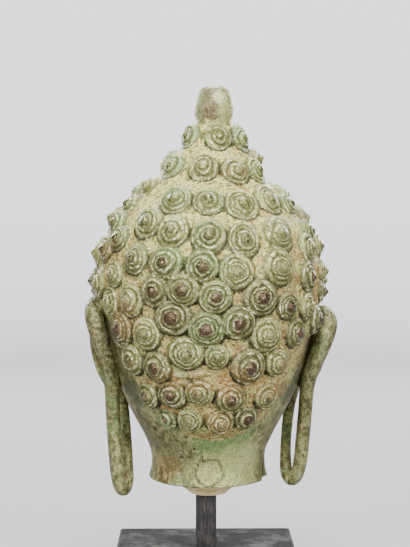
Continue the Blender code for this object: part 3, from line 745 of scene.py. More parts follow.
def neck_hollow(group):
    """Cuts the shallow recess under the neck's rim, above the plug."""
    shape = bmesh.new()
    sizes = {"radius1": HOLLOW_RADIUS + 0.6, "radius2": HOLLOW_RADIUS, "depth": 2.0 * HOLLOW_DEPTH}
    bmesh.ops.create_cone(shape, cap_ends=True, segments=96, **sizes)
    return add_object("neck_hollow", mesh_of("neck_hollow", shape), group)


def mesh_arrays(mesh):
    """Places, outward directions and edge ends of a mesh's vertices."""
    places = np.empty(len(mesh.vertices) * 3, np.float32)
    mesh.vertices.foreach_get("co", places)
    normals = np.empty(len(mesh.vertices) * 3, np.float32)
    mesh.vertex_normals.foreach_get("vector", normals)
    edges = np.empty(len(mesh.edges) * 2, np.int32)
    mesh.edges.foreach_get("vertices", edges)
    return places.reshape(-1, 3).astype(float), normals.reshape(-1, 3).astype(float), edges.reshape(-1, 2)


def averaged(values, edges, times):
    """Values spread along the edges, each vertex taking its neighbours' mean, several times over."""
    first, second = edges.T
    count = len(values)
    degree = np.bincount(edges.ravel(), minlength=count)[:, None]
    for _ in range(times):
        total = np.stack(
            [
                np.bincount(first, values[second, k], count) + np.bincount(second, values[first, k], count)
                for k in range(values.shape[1])
            ],
            axis=1,
        )
        values = 0.5 * values + 0.5 * total / degree
    return values


def store(mesh, name, values):
    """Keeps one number for each vertex."""
    made = mesh.attributes.new(name, "FLOAT", "POINT")
    made.data.foreach_set("value", np.clip(values, 0.0, 1.0).astype(np.float32))


def store_coils(mesh, places, curls, round_curls):
    """Records where each point lies on its nearest curl and in the clefts, for the finish's fine lines and for
    the shade it paints under the curls and in the clefts.
    """
    tree = search_tree([matrix @ Vector((0.0, 0.0, 0.5)) for matrix, _ in curls])
    inverses = [matrix.inverted() for matrix, _ in curls]
    across = np.empty((len(places), 3), np.float32)
    shares, tone, cleft, under = np.empty((4, len(places)))
    for i, place in enumerate(places):
        here = Vector(place)
        cleft[i] = cleft_between([round_curls[n] for _, n, _ in tree.find_n(here, 3)], here)[0]
        best = None
        for _, n, _ in tree.find_n(place, 3):
            local = inverses[n] @ here
            share = 2.0 * math.hypot(local.x, local.y) + (0.6 if local.z < -0.2 else 0.0)
            if best is None or share < best[0]:
                best = (share, n, local)
        share, n, local = best
        coil = curls[n][1]
        around = math.atan2(local.y, local.x) + 2.0 * math.pi * coil["start"]
        across[i] = (math.cos(around), math.sin(around), coil["turns"])
        shares[i] = share
        tone[i] = coil["tone"]
        under[i] = (round_curls[n][0].z - here.z) / round_curls[n][1]
    made = mesh.attributes.new("coil", "FLOAT_VECTOR", "POINT")
    made.data.foreach_set("vector", across.ravel())
    store(mesh, "half_share", 0.5 * shares)
    store(mesh, "tone", tone)
    # Under and cleft serve only the painted shade: on the curls' lower sides and in the clefts between them
    store(mesh, "under", under)
    store(mesh, "cleft", cleft * np.clip(3.0 * (shares - 0.72), 0.0, 1.0))


def store_relief(mesh, curls, round_curls):
    """Records how worn and how sunk each point is, and how far it lies under its curl and in the clefts, where
    the finish paints shade. Lengths are in units.
    """
    places, normals, edges = mesh_arrays(mesh)
    fine = ((places - averaged(places, edges, 3)) * normals).sum(axis=1)
    broad = ((places - averaged(places, edges, 40)) * normals).sum(axis=1)
    store(mesh, "ridge", fine / WORN_HEIGHT)
    sunk = averaged(np.clip(-broad / SUNK_DEPTH, 0.0, 1.0)[:, None], edges, 2)[:, 0]
    store(mesh, "hollow", sunk)
    store_coils(mesh, places, curls, round_curls)
    aside, depth, level = places.T
    turns = np.arctan2(aside, -depth)
    scars = np.zeros(len(places))
    for i in np.flatnonzero((level < NECK_MARKS_TOP) & (depth > 0.0)):
        scars[i] = neck_scars(turns[i], level[i])
    store(mesh, "scar", scars)
    edge = np.interp(np.degrees(np.abs(turns)), [row[0] for row in HAIR_EDGE], [row[1] for row in HAIR_EDGE])
    on_ear = (np.abs(aside) > EAR_INNER) & (depth > EAR_FRONT) & (depth < EAR_BACK) & (level < EAR_ABOVE)
    on_hair = (level > edge - 1.5) & (level < FINIAL_FOOT + 1.5) & ~on_ear
    store(mesh, "hair", averaged(on_hair.astype(float)[:, None], edges, 2)[:, 0])


def head_place():
    """From the head's own units to its place on the rod."""
    sizes = bpy.context.scene.head_sizes
    unit = sizes.height / UNITS_HIGH
    rim = HEAD_BOX[1][2] - sizes.height
    place = Matrix.Translation((sizes.off_rod, 0.0, rim)) @ Matrix.Rotation(sizes.turn, 4, "Z")
    return place @ Matrix.Diagonal((unit, unit, unit, 1.0))


def add_boolean(made, operation):
    step = made.modifiers.new(operation.lower(), "BOOLEAN")
    step.operation = operation
    step.solver = "MANIFOLD"
    return step


def build_head(sizes):
    """The whole casting as one closed mesh in its place."""
    helpers = bpy.data.collections.new("head_helpers")
    bpy.context.scene.collection.children.link(helpers)
    additions = bpy.data.collections.new("head_additions")
    helpers.children.link(additions)
    diameter = sizes.curl_diameter / MM
    places = curl_places(diameter)
    round_curls = [(middle, 0.5 * size * diameter) for _, _, size, middle in places]
    head = add_object("head_form", head_form(sizes.casting_swell, round_curls), helpers)
    luck = random.Random(SEED + 1)
    curls = []
    for n, (turn, level, size, _) in enumerate(places):
        coil = coil_of(size, sizes, luck)
        curl = add_object(f"curl_{n:03d}", mesh_of(f"curl_{n:03d}", curl_shape(sizes, coil)), additions)
        place = curl_matrix(turn, level, size, coil["oval"], sizes)
        curl.data.transform(place)
        curls.append((place, coil))
    for side, sign in (("left", 1.0), ("right", -1.0)):
        add_ear(side, sign, additions)
    add_broken_curl(additions)
    joined = add_boolean(head, "UNION")
    joined.operand_type = "COLLECTION"
    joined.collection = additions
    add_boolean(head, "DIFFERENCE").object = neck_hollow(helpers)
    mesh = evaluated_mesh(head)
    mesh.name = "bronze_casting"
    mesh.materials.clear()
    for group in (additions, helpers):
        for made in list(group.objects):
            bpy.data.objects.remove(made)
        bpy.data.collections.remove(group)
    mesh.shade_smooth()
    store_relief(mesh, curls, round_curls)
    mesh.transform(head_place())
    return add_object("bronze_casting", mesh)


def add_node(tree, kind, sockets=None, **settings):
    """A shader node with its settings. A socket given another node's output is linked to it."""
    made = tree.nodes.new(kind)
    for name, value in settings.items():
        setattr(made, name, value)
    for name, value in (sockets or {}).items():
        if isinstance(value, bpy.types.NodeSocket):
            tree.links.new(value, made.inputs[name])
        else:
            made.inputs[name].default_value = value
    return made


class Finish:
    """A material under construction: its tree, its coordinates and the layers laid on so far."""

    def __init__(self, name):
        self.material = bpy.data.materials.new(name)
        self.material.use_nodes = True
        self.tree = self.material.node_tree
        self.shader = self.tree.nodes["Principled BSDF"]
        self.place = self.node("ShaderNodeTexCoord", output="Object")

    def node(self, kind, sockets=None, output=0, **settings):
        """The output of a new node."""
        return add_node(self.tree, kind, sockets, **settings).outputs[output]

    def noise(self, size, detail=4.0, roughness=0.55, distortion=0.0, offset=(0, 0, 0), scale=(1, 1, 1)):
        """A cloudy pattern from 0 to 1, whose blotches are about this many millimetres across."""
        sockets = {"Vector": self.place, "Location": offset, "Scale": scale}
        moved = self.node("ShaderNodeMapping", sockets)
        sockets = {"Vector": moved, "Scale": 1.0 / (size * MM), "Detail": detail}
        sockets.update({"Roughness": roughness, "Distortion": distortion})
        return self.node("ShaderNodeTexNoise", sockets, "Fac")

    def axis(self, number):
        """One coordinate of the place."""
        return self.node("ShaderNodeSeparateXYZ", {0: self.place}, number)

    def attribute(self, name, output="Fac"):
        return self.node("ShaderNodeAttribute", output=output, attribute_name=name)

    def maths(self, operation, *values):
        return self.node("ShaderNodeMath", dict(enumerate(values)), operation=operation)

    def measure(self, operation, *values):
        """A number from vectors, such as a distance."""
        return self.node("ShaderNodeVectorMath", dict(enumerate(values)), "Value", operation=operation)

    def product(self, *values):
        result = values[0]
        for value in values[1:]:
            result = self.maths("MULTIPLY", result, value)
        return result

    def band(self, value, low, high, to_low=0.0, to_high=1.0):
        """The value stretched from low..high to to_low..to_high, with soft ends."""
        sockets = {"Value": value, 1: low, 2: high, 3: to_low, 4: to_high}
        return self.node("ShaderNodeMapRange", sockets, interpolation_type="SMOOTHSTEP", clamp=True)

    def ragged_patch(self, turn, height, radius, ragged):
        """A ragged blotch on the head at a turn from the back and a height, with a radius in millimetres."""
        middle = head_place() @ head_point(math.pi + math.radians(turn), height)
        away = self.measure("DISTANCE", self.place, tuple(middle))
        away = self.maths("MULTIPLY_ADD", ragged, 0.9 * radius * MM, away)
        return self.band(away, 1.55 * radius * MM, 0.95 * radius * MM)

    def mix(self, share, below, above):
        """Two colours mixed by a share of the second."""
        sockets = {0: share}
        for slot, value in ((6, below), (7, above)):
            sockets[slot] = value if isinstance(value, bpy.types.NodeSocket) else (*value, 1.0)
        return self.node("ShaderNodeMix", sockets, 2, data_type="RGBA")

    def blend(self, share, below, above):
        """Two numbers mixed by a share of the second."""
        return self.node("ShaderNodeMix", {0: share, 2: below, 3: above}, data_type="FLOAT")

    def bump(self, height, distance, strength=1.0, below=None):
        """Fine relief of this many millimetres."""
        sockets = {"Height": height, "Distance": distance * MM, "Strength": strength}
        if below:
            sockets["Normal"] = below
        return self.node("ShaderNodeBump", sockets)

    def connect(self, **sockets):
        """Sets or links the shader's sockets, whose names are given with underscores."""
        for name, value in sockets.items():
            socket = self.shader.inputs[name.replace("_", " ")]
            if isinstance(value, bpy.types.NodeSocket):
                self.tree.links.new(value, socket)
            else:
                socket.default_value = value
        return self.material


# Blotches of the patina at the back, and a painted highlight on the finial: turn from the back in degrees,
# height, radius, colour, strength
STAINS_AND_FINIAL_HIGHLIGHT = (
    (-4, 34, 15, "green", 0.75),
    (18, 30, 12, "green", 0.55),
    (-36, 22, 16, "brown", 0.50),
    (-52, 12, 13, "rust", 0.20),
    (-62, 34, 18, "skin_dark", 0.70),
    (66, 34, 18, "skin_dark", 0.60),
    (36, 18, 12, "grey", 0.50),
    (26, 14, 20, "pale", 0.65),
    (-6, 12, 13, "pale", 0.55),
    (64, 8, 9, "dark", 0.60),
    (0, 250, 24, "olive", 0.45),
    (-55, 250, 12, "grey", 0.55),
    (-20, 243, 7, "brown", 0.80),
    (-18, 251, 8, "brown", 0.80),
    (-14, 259, 7, "brown", 0.75),
    # A painted highlight on the finial
    (14, 256, 6, "rubbed_and_highlight", 0.30),
    (50, 248, 11, "pale", 0.50),
    (-78, 106, 20, "skin_dark", 0.70),
    (-80, 84, 18, "skin_dark", 0.45),
    (5, 75, 17, "rust", 0.35),
    (-14, 76, 11, "rust", 0.40),
    (28, 70, 12, "rust", 0.30),
    (-66, 150, 15, "rust", 0.30),
    (-50, 112, 16, "rust", 0.30),
    (2, 48, 12, "rust", 0.30),
    (-22, 152, 15, "green", 0.45),
    (-4, 150, 16, "green", 0.40),
    (-6, 108, 17, "green", 0.45),
    (0, 128, 13, "green", 0.40),
    (-34, 46, 12, "green", 0.55),
)
# Patches laid over the earth: painted shade behind the ears, and rust, grey and painted shade round the broken
# curl
SHADE_AND_STAINS_OVER_EARTH = (
    (66, 98, 16, "brown", 0.80),
    (64, 80, 17, "shade", 0.80),
    (62, 62, 15, "dark", 0.70),
    (-66, 98, 15, "brown", 0.80),
    (-64, 80, 17, "shade", 0.80),
    (-62, 62, 15, "dark", 0.70),
    (46, 64, 10, "brown", 0.55),
    (-46, 60, 10, "brown", 0.55),
    (-28, 76, 9, "rust", 0.35),
    (4, 75, 9, "rust", 0.35),
    (22, 76, 9, "rust", 0.30),
    (34, 66, 7, "rust", 0.55),
    (-20, 81, 5, "grey", 0.60),
    (-12, 81, 5, "grey", 0.60),
    (-16, 76, 4, "dark", 0.70),
)


def coil_lines(finish, hair, blotch, fine, cloud):
    """Shares of a curl's groove, crest, strands, nub, rim, lip, sloping side and the scalp round it."""
    band, maths, product = finish.band, finish.maths, finish.product
    parts = add_node(finish.tree, "ShaderNodeSeparateXYZ", {0: finish.attribute("coil", "Vector")})
    even_share = product(finish.attribute("half_share"), 2.0)
    wander = maths("ADD", band(blotch, 0.35, 0.65, -0.07, 0.07), band(fine, 0.3, 0.7, -0.03, 0.03))
    share = maths("ADD", even_share, wander)
    around = maths("ARCTAN2", parts.outputs[1], parts.outputs[0])
    inward = maths("SUBTRACT", 1.0, maths("POWER", share, COIL_WIDENING))
    winding = maths("MULTIPLY_ADD", product(inward, parts.outputs[2]), 2.0 * math.pi, around)
    wave = maths("MULTIPLY_ADD", maths("COSINE", winding), 0.5, 0.5)
    finer = maths("COSINE", maths("MULTIPLY_ADD", winding, 2.0, product(cloud, 12.0)))
    torn = band(blotch, 0.54, 0.44)
    on_coil = product(band(share, OUTER_BAND + 0.08, OUTER_BAND), band(share, 0.18, 0.30), hair)
    return {
        "groove": product(maths("POWER", wave, 3.0), on_coil, band(blotch, 0.38, 0.54, 0.25, 1.0)),
        "crest": product(maths("POWER", maths("SUBTRACT", 1.0, wave), 12.0), on_coil),
        "strand": product(band(finer, 0.2, 1.0), on_coil, band(blotch, 0.62, 0.44)),
        "nub": product(band(share, 0.42, 0.28), hair),
        "rim": product(band(even_share, 0.90, 1.00), band(even_share, 1.14, 1.04), hair),
        "lip": product(band(even_share, 0.85, 0.89), band(even_share, 0.94, 0.90), torn, hair),
        "scalp": product(band(even_share, 0.99, 1.07), hair),
        "dome": product(band(even_share, 0.35, 0.95), band(even_share, 1.06, 1.0), hair),
    }


def hair_crust(finish, look, blotch, fine, cloud):
    """The patina of the curls, which differs from curl to curl."""
    band, mix, product = finish.band, finish.mix, finish.product
    tone = finish.attribute("tone")
    crust = mix(band(blotch, 0.40, 0.58), look.olive, look.pale)
    leafy = product(band(tone, 0.40, 0.75), band(cloud, 0.42, 0.56), 0.7)
    crust = mix(leafy, crust, look.green)
    crust = mix(product(band(tone, 0.34, 0.10), 0.6), crust, look.tan)
    return mix(band(fine, 0.52, 0.66, 0.0, 0.55), crust, look.grey)


def bare_skin(finish, look, blotch, fine, cloud):
    """The darker, streaked patina of the face, neck, ears and finial."""
    band, mix, product = finish.band, finish.mix, finish.product
    streak = finish.noise(4.2, 5.0, 0.65, scale=(1.0, 1.0, 0.65))
    skin = mix(band(finish.blend(0.4, blotch, fine), 0.41, 0.58), look.skin_dark, look.skin)
    skin = mix(band(streak, 0.45, 0.60, 0.0, 0.60), skin, look.skin_pale)
    aside = finish.maths("ABSOLUTE", finish.axis(0))
    ear = product(band(aside, 0.056, 0.064), band(blotch, 0.34, 0.60, 1.0, 0.45))
    skin = mix(ear, skin, look.skin_dark)
    skin = mix(band(streak, 0.42, 0.34, 0.0, 0.3), skin, look.dark)
    return mix(band(cloud, 0.50, 0.60, 0.0, 0.5), skin, look.green)


def with_patches(finish, look, paint, blotch, stains):
    """A paint with soft-edged patches of other colours on it."""
    for turn, height, radius, name, strength in stains:
        blot = finish.ragged_patch(turn, height, radius, blotch)
        paint = finish.mix(finish.product(blot, strength), paint, getattr(look, name))
    return paint


def patinated_bronze(look):
    """Cast bronze, buried and cleaned: a matt crust of pale green and olive over dark metal, rubbed through
    on the nubs and ridges, with tan earth left in every hollow."""
    # Besides its patina, this finish paints shade into the grooves, rims and clefts and under each curl, and
    # paints highlights on the crests
    finish = Finish("patinated_cast_bronze")
    band, maths, mix, product = finish.band, finish.maths, finish.mix, finish.product
    cloud = finish.noise(26.0, 5.0, 0.6)
    blotch = finish.noise(9.0, 5.0, 0.6, 0.4, (3.0, 1.0, 2.0))
    fine = finish.noise(2.6, 4.0, 0.65, 0.2, (5.0, 2.0, 8.0))
    grain = finish.noise(1.1, 3.0, 0.65, 0.0, (1.0, 9.0, 4.0))
    hair = finish.attribute("hair")
    cleft = product(finish.attribute("cleft"), hair)
    lines = coil_lines(finish, hair, blotch, fine, cloud)
    lower = band(finish.axis(2), 0.31, 0.22)
    crust = hair_crust(finish, look, blotch, fine, cloud)
    grime = product(lower, band(finish.blend(0.5, blotch, finish.attribute("tone")), 0.35, 0.60), 0.75)
    crust = mix(grime, crust, look.brown)
    paint = mix(hair, bare_skin(finish, look, blotch, fine, cloud), crust)
    paint = with_patches(finish, look, paint, blotch, STAINS_AND_FINIAL_HIGHLIGHT)

    # Earth stays in the hollows and on the scalp
    earth = mix(band(fine, 0.42, 0.54), look.earth, look.earth_pale)
    earth = mix(band(fine, 0.44, 0.36, 0.0, 0.8), earth, look.skin_dark)
    earth = mix(product(band(blotch, 0.50, 0.60), lower, 0.7), earth, look.rust)
    earth = mix(product(lower, 0.35), earth, look.brown)
    earth = mix(band(grain, 0.54, 0.60, 0.0, 0.7), earth, look.skin_dark)
    sunk = product(finish.attribute("hollow"), band(hair, 0.0, 1.0, 1.0, 0.8))
    lodged = band(finish.blend(0.35, maths("MAXIMUM", sunk, lines["scalp"]), fine), 0.36, 0.60)
    paint = with_patches(finish, look, mix(product(lodged, 0.85), paint, earth), blotch, SHADE_AND_STAINS_OVER_EARTH)
    # Painted shade: the lower side of each curl's dome is darkened, as under a light from above
    under = product(band(finish.attribute("under"), 0.0, 0.8), lines["dome"], 0.7)
    paint = mix(under, paint, look.shade)

    # Painted shade darkens the grooves, rims and clefts, painted highlights lighten the crests between, and the
    # ridges are rubbed pale
    # Painted shade along each curl's rim, strongest on its lower side
    below = band(finish.attribute("under"), 0.0, 0.5, 0.4, 1.0)
    shade = product(lines["rim"], band(blotch, 0.38, 0.50, 0.3, 1.0), below)
    paint = mix(shade, paint, look.dark)
    paint = mix(product(lines["strand"], 0.45), paint, look.shade)
    # Painted shade in the coils' grooves
    paint = mix(product(lines["groove"], 0.55), paint, look.shade)
    groove_shade = product(lines["groove"], band(fine, 0.46, 0.58), 0.6)
    paint = mix(groove_shade, paint, look.dark)
    # Painted highlights on the coils' crests and on the lip of each outer band
    lit = maths("MAXIMUM", lines["crest"], lines["lip"])
    lit = product(lit, band(fine, 0.46, 0.54), 0.85)
    paint = mix(lit, paint, look.rubbed_and_highlight)
    # Painted shade in the narrow clefts between side-by-side curls
    paint = mix(product(cleft, band(fine, 0.36, 0.50, 0.55, 0.95)), paint, look.dark)
    paint = mix(product(finish.attribute("scar"), 0.95), paint, look.dark)
    worn = product(finish.attribute("ridge"), band(fine, 0.46, 0.60), band(hair, 0.0, 1.0, 0.2, 0.1))
    paint = mix(worn, paint, look.rubbed_and_highlight)
    patchy = band(finish.blend(0.6, finish.attribute("tone"), fine), 0.38, 0.52, 0.2, 0.95)
    polished = product(lines["nub"], patchy)
    paint = mix(polished, paint, mix(lower, look.olive, look.metal))

    # Grit, drawn a little coarser than real so that it shows
    gritty = band(hair, 0.0, 1.0, 0.75, 1.0)
    paint = mix(product(band(grain, 0.50, 0.62, 0.0, 0.5), gritty), paint, look.shade)
    paint = mix(product(band(grain, 0.44, 0.34, 0.0, 0.2), gritty), paint, look.rubbed_and_highlight)
    speck = product(band(grain, 0.58, 0.66), band(blotch, 0.40, 0.56), gritty)
    paint = mix(speck, paint, look.dark)

    shine = maths("MAXIMUM", polished, worn)
    shine = maths("MAXIMUM", shine, product(lines["crest"], 0.6))
    shine = maths("MAXIMUM", shine, product(maths("SUBTRACT", 1.0, hair), 0.35))
    roughness = finish.blend(shine, band(fine, 0.3, 0.7, 0.42, 0.68), 0.22)
    metal = finish.blend(shine, 0.10, 0.80)
    relief = finish.bump(maths("SUBTRACT", 1.0, lines["groove"]), 0.9, 1.0)
    relief = finish.bump(lines["strand"], 0.3, 0.9, relief)
    relief = finish.bump(fine, 0.8, 0.9, relief)
    relief = finish.bump(grain, 0.35, 0.9, relief)
    matt = finish.blend(shine, 0.15, 0.5)
    return finish.connect(
        Base_Color=paint, Roughness=roughness, Metallic=metal, Specular_IOR_Level=matt, Normal=relief
    )


def cream_plaster(look):
    """Cast gypsum plaster, chalky and slightly yellowed, with pores and a few dark flecks."""
    finish = Finish("cream_gypsum_plaster")
    cloud = finish.noise(7.0, 4.0)
    pores = finish.noise(0.8, 3.0, 0.6, 0.0, (2.0, 2.0, 1.0))
    paint = finish.mix(finish.band(cloud, 0.35, 0.7), look.plaster, look.plaster_stain)
    paint = finish.mix(finish.band(pores, 0.70, 0.76, 0.0, 0.8), paint, look.fleck)
    return finish.connect(Base_Color=paint, Roughness=0.92, Normal=finish.bump(pores, 0.2, 0.7))


def painted_steel(look):
    """Steel bar under brushed black paint: a dull sheen, fine runs along the bar, chips to grey metal."""
    finish = Finish("black_paint_on_steel_bar")
    streak = finish.noise(0.9, 4.0, 0.5, scale=(1.0, 1.0, 0.12))
    cloud = finish.noise(8.0, 5.0, 0.65)
    chips = finish.noise(1.6, 3.0, 0.7, 0.3, (4.0, 4.0, 0.0))
    paint = finish.mix(finish.band(streak, 0.40, 0.70), look.rod, look.rod_worn)
    paint = finish.mix(finish.band(chips, 0.66, 0.72, 0.0, 0.8), paint, look.scuff)
    roughness = finish.band(cloud, 0.3, 0.7, 0.42, 0.62)
    relief = finish.bump(streak, 0.08, 0.6)
    return finish.connect(Base_Color=paint, Roughness=roughness, Normal=relief, Metallic=0.15)


def painted_wood(look):
    """Close-grained wood under thin black paint: the grain shows faintly, and dust and scuffs grey it."""
    finish = Finish("black_paint_on_wood")
    grain = finish.noise(1.4, 5.0, 0.65, scale=(0.10, 1.0, 1.0))
    cloud = finish.noise(24.0, 5.0, 0.65, 0.6)
    dust = finish.noise(22.0, 7.0, 0.72, 0.2, (1.0, 7.0, 0.0))
    paint = finish.mix(finish.band(cloud, 0.40, 0.62), look.block, look.block_dusty)
    top = BLOCK_BOX[1][2]
    settled = finish.band(finish.axis(2), top - 2.0 * MM, top - 0.5 * MM, 0.15, 0.50)
    wiped = finish.product(finish.band(dust, 0.44, 0.68), finish.band(grain, 0.40, 0.60, 0.5, 1.0), settled)
    paint = finish.mix(wiped, paint, look.scuff)
    relief = finish.bump(grain, 0.10, 0.7)
    roughness = finish.band(dust, 0.3, 0.7, 0.55, 0.85)
    return finish.connect(Base_Color=paint, Roughness=roughness, Specular_IOR_Level=0.1, Normal=relief)


# Reach over which the paper's glow grows, in metres, and its strength at the object
GLOW_FROM = 0.55
GLOW_TO = 2.4
GLOW_AT_OBJECT = 0.29


def studio_paper(look):
    """Seamless pale paper: matt, with no texture that the camera could resolve, and it glows more and more
    away from the object."""
    finish = Finish("seamless_grey_paper")
    cloud = finish.noise(400.0, 2.0)
    paint = finish.mix(cloud, look.floor, [c * 0.97 for c in look.floor])
    away = finish.measure("LENGTH", finish.place)
    glow = finish.band(away, GLOW_FROM, GLOW_TO, GLOW_AT_OBJECT, look.wall_glow)
    white = (0.95, 0.95, 1.0, 1.0)
    return finish.connect(Base_Color=paint, Roughness=0.95, Emission_Color=white, Emission_Strength=glow)


def tint(name, description, code):
    settings = {"subtype": "COLOR", "size": 3, "min": 0.0, "max": 1.0, "default": colour(code)}
    return FloatVectorProperty(name=name, description=description, **settings)


def number(name, description, default, **kind):
    return FloatProperty(name=name, description=description, default=default, **kind)


def length(name, description, metres):
    return number(name, description, metres, unit="LENGTH")


def angle(name, description, degrees):
    return number(name, description, math.radians(degrees), subtype="ANGLE")


class HeadSizes(bpy.types.PropertyGroup):
    height: length("Height", "From the neck's rim to the top of the finial", 0.265)
    turn: angle("Turn", "Turn of the head on its rod", 5.0)
    off_rod: length("Off the rod", "Distance of the neck's middle from the rod's", -0.0015)
    curl_diameter: length("Curl diameter", "Diameter of a full-size curl", 0.0215)
    curl_height: length("Curl height", "How far a curl stands out of the scalp", 0.0080)
    curl_turns: number("Curl turns", "Turns of the groove in a curl", 6.0)
    groove_depth: number("Groove depth", "Depth of a curl's groove as a share of its height", 0.17)
    casting_swell: number("Casting swell", "Unevenness of the cast surface, in millimetres", 0.35)


class BronzeLook(bpy.types.PropertyGroup):
    pale: tint("Pale crust", "Main patina of the hair", "#A6AA6C")
    olive: tint("Olive crust", "Second patina of the hair", "#686B3A")
    green: tint("Green crust", "Green patches", "#638049")
    grey: tint("Grey bloom", "Grey-green bloom on the crust", "#959E74")
    tan: tint("Tan crust", "Browner patches of the crust", "#7C6B42")
    skin: tint("Skin", "Patina of the face, neck and ears", "#767146")
    skin_pale: tint("Pale skin", "Rubbed patina of the face, neck and ears", "#B8B37C")
    skin_dark: tint("Dark skin", "Browner patina of the face, neck and ears", "#4B4324")
    earth: tint("Earth", "Earth in the hollows", "#9C8D48")
    earth_pale: tint("Pale earth", "Dry pale earth in the hollows", "#CFC67E")
    rust: tint("Orange earth", "Orange spots in the earth", "#9C6638")
    shade: tint("Shaded olive", "Olive of the coils' grooves", "#3D3817")
    brown: tint("Brown grime", "Grime that darkens the lower rows", "#50412A")
    dark: tint("Dark", "Shadowed grime and pits", "#141006")
    # Also the painted highlight on the coils' crests and lips and on the finial
    rubbed_and_highlight: tint("Rubbed ridges", "Metal rubbed bright on ridges", "#EAE9B8")
    metal: tint("Bare bronze", "Brown metal of the polished nubs", "#4B352A")


class StandLook(bpy.types.PropertyGroup):
    plaster: tint("Plaster", "Plaster of the plug", "#FFF0BE")
    plaster_stain: tint("Stained plaster", "Yellowed plaster", "#E0C682")
    fleck: tint("Fleck", "Dark flecks in the plaster", "#4A3B28")
    rod: tint("Rod paint", "Black paint of the rod", "#1F1E1E")
    rod_worn: tint("Worn rod paint", "Thin paint on the rod", "#423F3D")
    block: tint("Block paint", "Black paint of the block", "#0A0A0A")
    block_dusty: tint("Dusty block paint", "Wiped dust on the block", "#171716")
    scuff: tint("Scuffs", "Scuffs and chips in the paint", "#777675")


class StageSettings(bpy.types.PropertyGroup):
    floor: tint("Paper", "Seamless paper round the object", "#868689")
    floor_radius: length("Floor radius", "Reach of the paper", 2.2)
    wall_height: length("Wall height", "Height of the paper's rise", 2.4)
    wall_glow: number("Wall glow", "Light that comes through the paper away from the object", 1.8)
    side_power: number("Side lights", "Power of each side light, in watts", 15.0)
    high_power: number("High lights", "Power of each high light, in watts", 33.0)
    bounce: number("Bounce", "Strength of the even light from below, as a pale floor gives", 1.15)
    world: number("Ambient light", "Strength of the even light", 0.12)
    camera_distance: length("Camera distance", "From the rod to the camera", 0.800)
    camera_aside: length("Camera aside", "How far the camera stands to the figure's left", 0.00915)
    camera_above_block: length("Camera height", "Camera's height above the block's top", 0.2376)
    camera_pitch: angle("Camera pitch", "How far the camera looks down", 3.25)
    camera_yaw: angle("Camera yaw", "How far the camera looks to the figure's right", 0.607)
    lens: number("Lens", "Focal length in millimetres", 77.7)


def give_material(node_name, material):
    """Dresses a CAD node, whose mesh stays as it is."""
    materials = frame["nodes"][node_name].data.materials
    materials.clear()
    materials.append(material)
    return {"FINISHED"}


class AddBronzeHead(bpy.types.Operator):
    """Builds the cast bronze head with its curls and ears"""

    bl_idname = "mesh.add_bronze_head"
    bl_label = "Bronze head"

    def execute(self, context):
        head = build_head(context.scene.head_sizes)
        head.data.materials.append(patinated_bronze(context.scene.bronze_look))
        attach(head, "root")
        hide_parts("bronze_head")
        return {"FINISHED"}


class AddPlasterPlug(bpy.types.Operator):
    """Gives the plug in the neck its plaster"""

    bl_idname = "mesh.add_plaster_plug"
    bl_label = "Plaster plug"

    def execute(self, context):
        return give_material("plaster_plug", cream_plaster(context.scene.stand_look))


class AddSquareRod(bpy.types.Operator):
    """Gives the square rod its worn black paint"""

    bl_idname = "mesh.add_square_rod"
    bl_label = "Square rod"

    def execute(self, context):
        return give_material("square_rod", painted_steel(context.scene.stand_look))


class AddBaseBlock(bpy.types.Operator):
    """Gives the base block its scuffed black paint"""

    bl_idname = "mesh.add_base_block"
    bl_label = "Base block"

    def execute(self, context):
        return give_material("base_block", painted_wood(context.scene.stand_look))


def add_paper(stage):
    """A floor that sweeps up into a wall all round, so that every view has the same pale ground. It throws no
    light back, as in a dark studio, so that the curls keep their shade."""
    shape = bmesh.new()
    bend = 0.6
    profile = [(0.0, 0.0), (stage.floor_radius - bend, 0.0)]
    for n in range(1, 9):
        angle = math.radians(90.0 * n / 8)
        profile.append((stage.floor_radius - bend + bend * math.sin(angle), bend - bend * math.cos(angle)))
    profile.append((stage.floor_radius, stage.wall_height))
    verts = [shape.verts.new((radius, 0.0, height - 0.3 * MM)) for radius, height in profile]
    edges = [shape.edges.new(pair) for pair in zip(verts, verts[1:])]
    bmesh.ops.spin(
        shape,
        geom=verts + edges,
        cent=(0.0, 0.0, 0.0),
        axis=(0.0, 0.0, 1.0),
        angle=2.0 * math.pi,
        steps=96,
        use_merge=True,
    )
    bmesh.ops.remove_doubles(shape, verts=shape.verts, dist=0.1 * MM)
    mesh = mesh_of("seamless_paper", shape)
    mesh.shade_smooth()
    paper = add_object("seamless_paper", mesh)
    mesh.materials.append(studio_paper(stage))
    paper.visible_diffuse = False
    paper.visible_glossy = False


def add_light(name, place, size, power):
    """A square soft light that faces the head."""
    lamp = bpy.data.lights.new(name, "AREA")
    lamp.size = size
    lamp.energy = power
    made = add_object(name, lamp)
    made.location = place
    made.rotation_euler = (Vector(LIT_POINT) - Vector(place)).to_track_quat("-Z", "Y").to_euler()


def even_light(stage):
    """A world that is even from above and brighter from below, where the pale floor is."""
    world = bpy.data.worlds.new("even_light")
    world.use_nodes = True
    tree = world.node_tree
    ground = tree.nodes["Background"]
    ground.inputs["Color"].default_value = (1.0, 1.0, 1.0, 1.0)
    direction = add_node(tree, "ShaderNodeTexCoord").outputs["Generated"]
    up = add_node(tree, "ShaderNodeSeparateXYZ", {0: direction}).outputs[2]
    sockets = {"Value": up, 1: -0.25, 2: 0.25, 3: stage.bounce, 4: stage.world}
    strength = add_node(tree, "ShaderNodeMapRange", sockets, clamp=True).outputs[0]
    tree.links.new(strength, ground.inputs["Strength"])
    return world


# Places and sizes of the lights, which stand in mirrored sets, and the point that they face, in metres
SIDE_LIGHT = (0.60, 1.00, 0.60)
SIDE_LIGHT_SIZE = 0.3
HIGH_LIGHT = (0.0, 0.70, 1.30)
HIGH_LIGHT_SIZE = 0.4
LIT_POINT = (0.0, 0.0, 0.22)


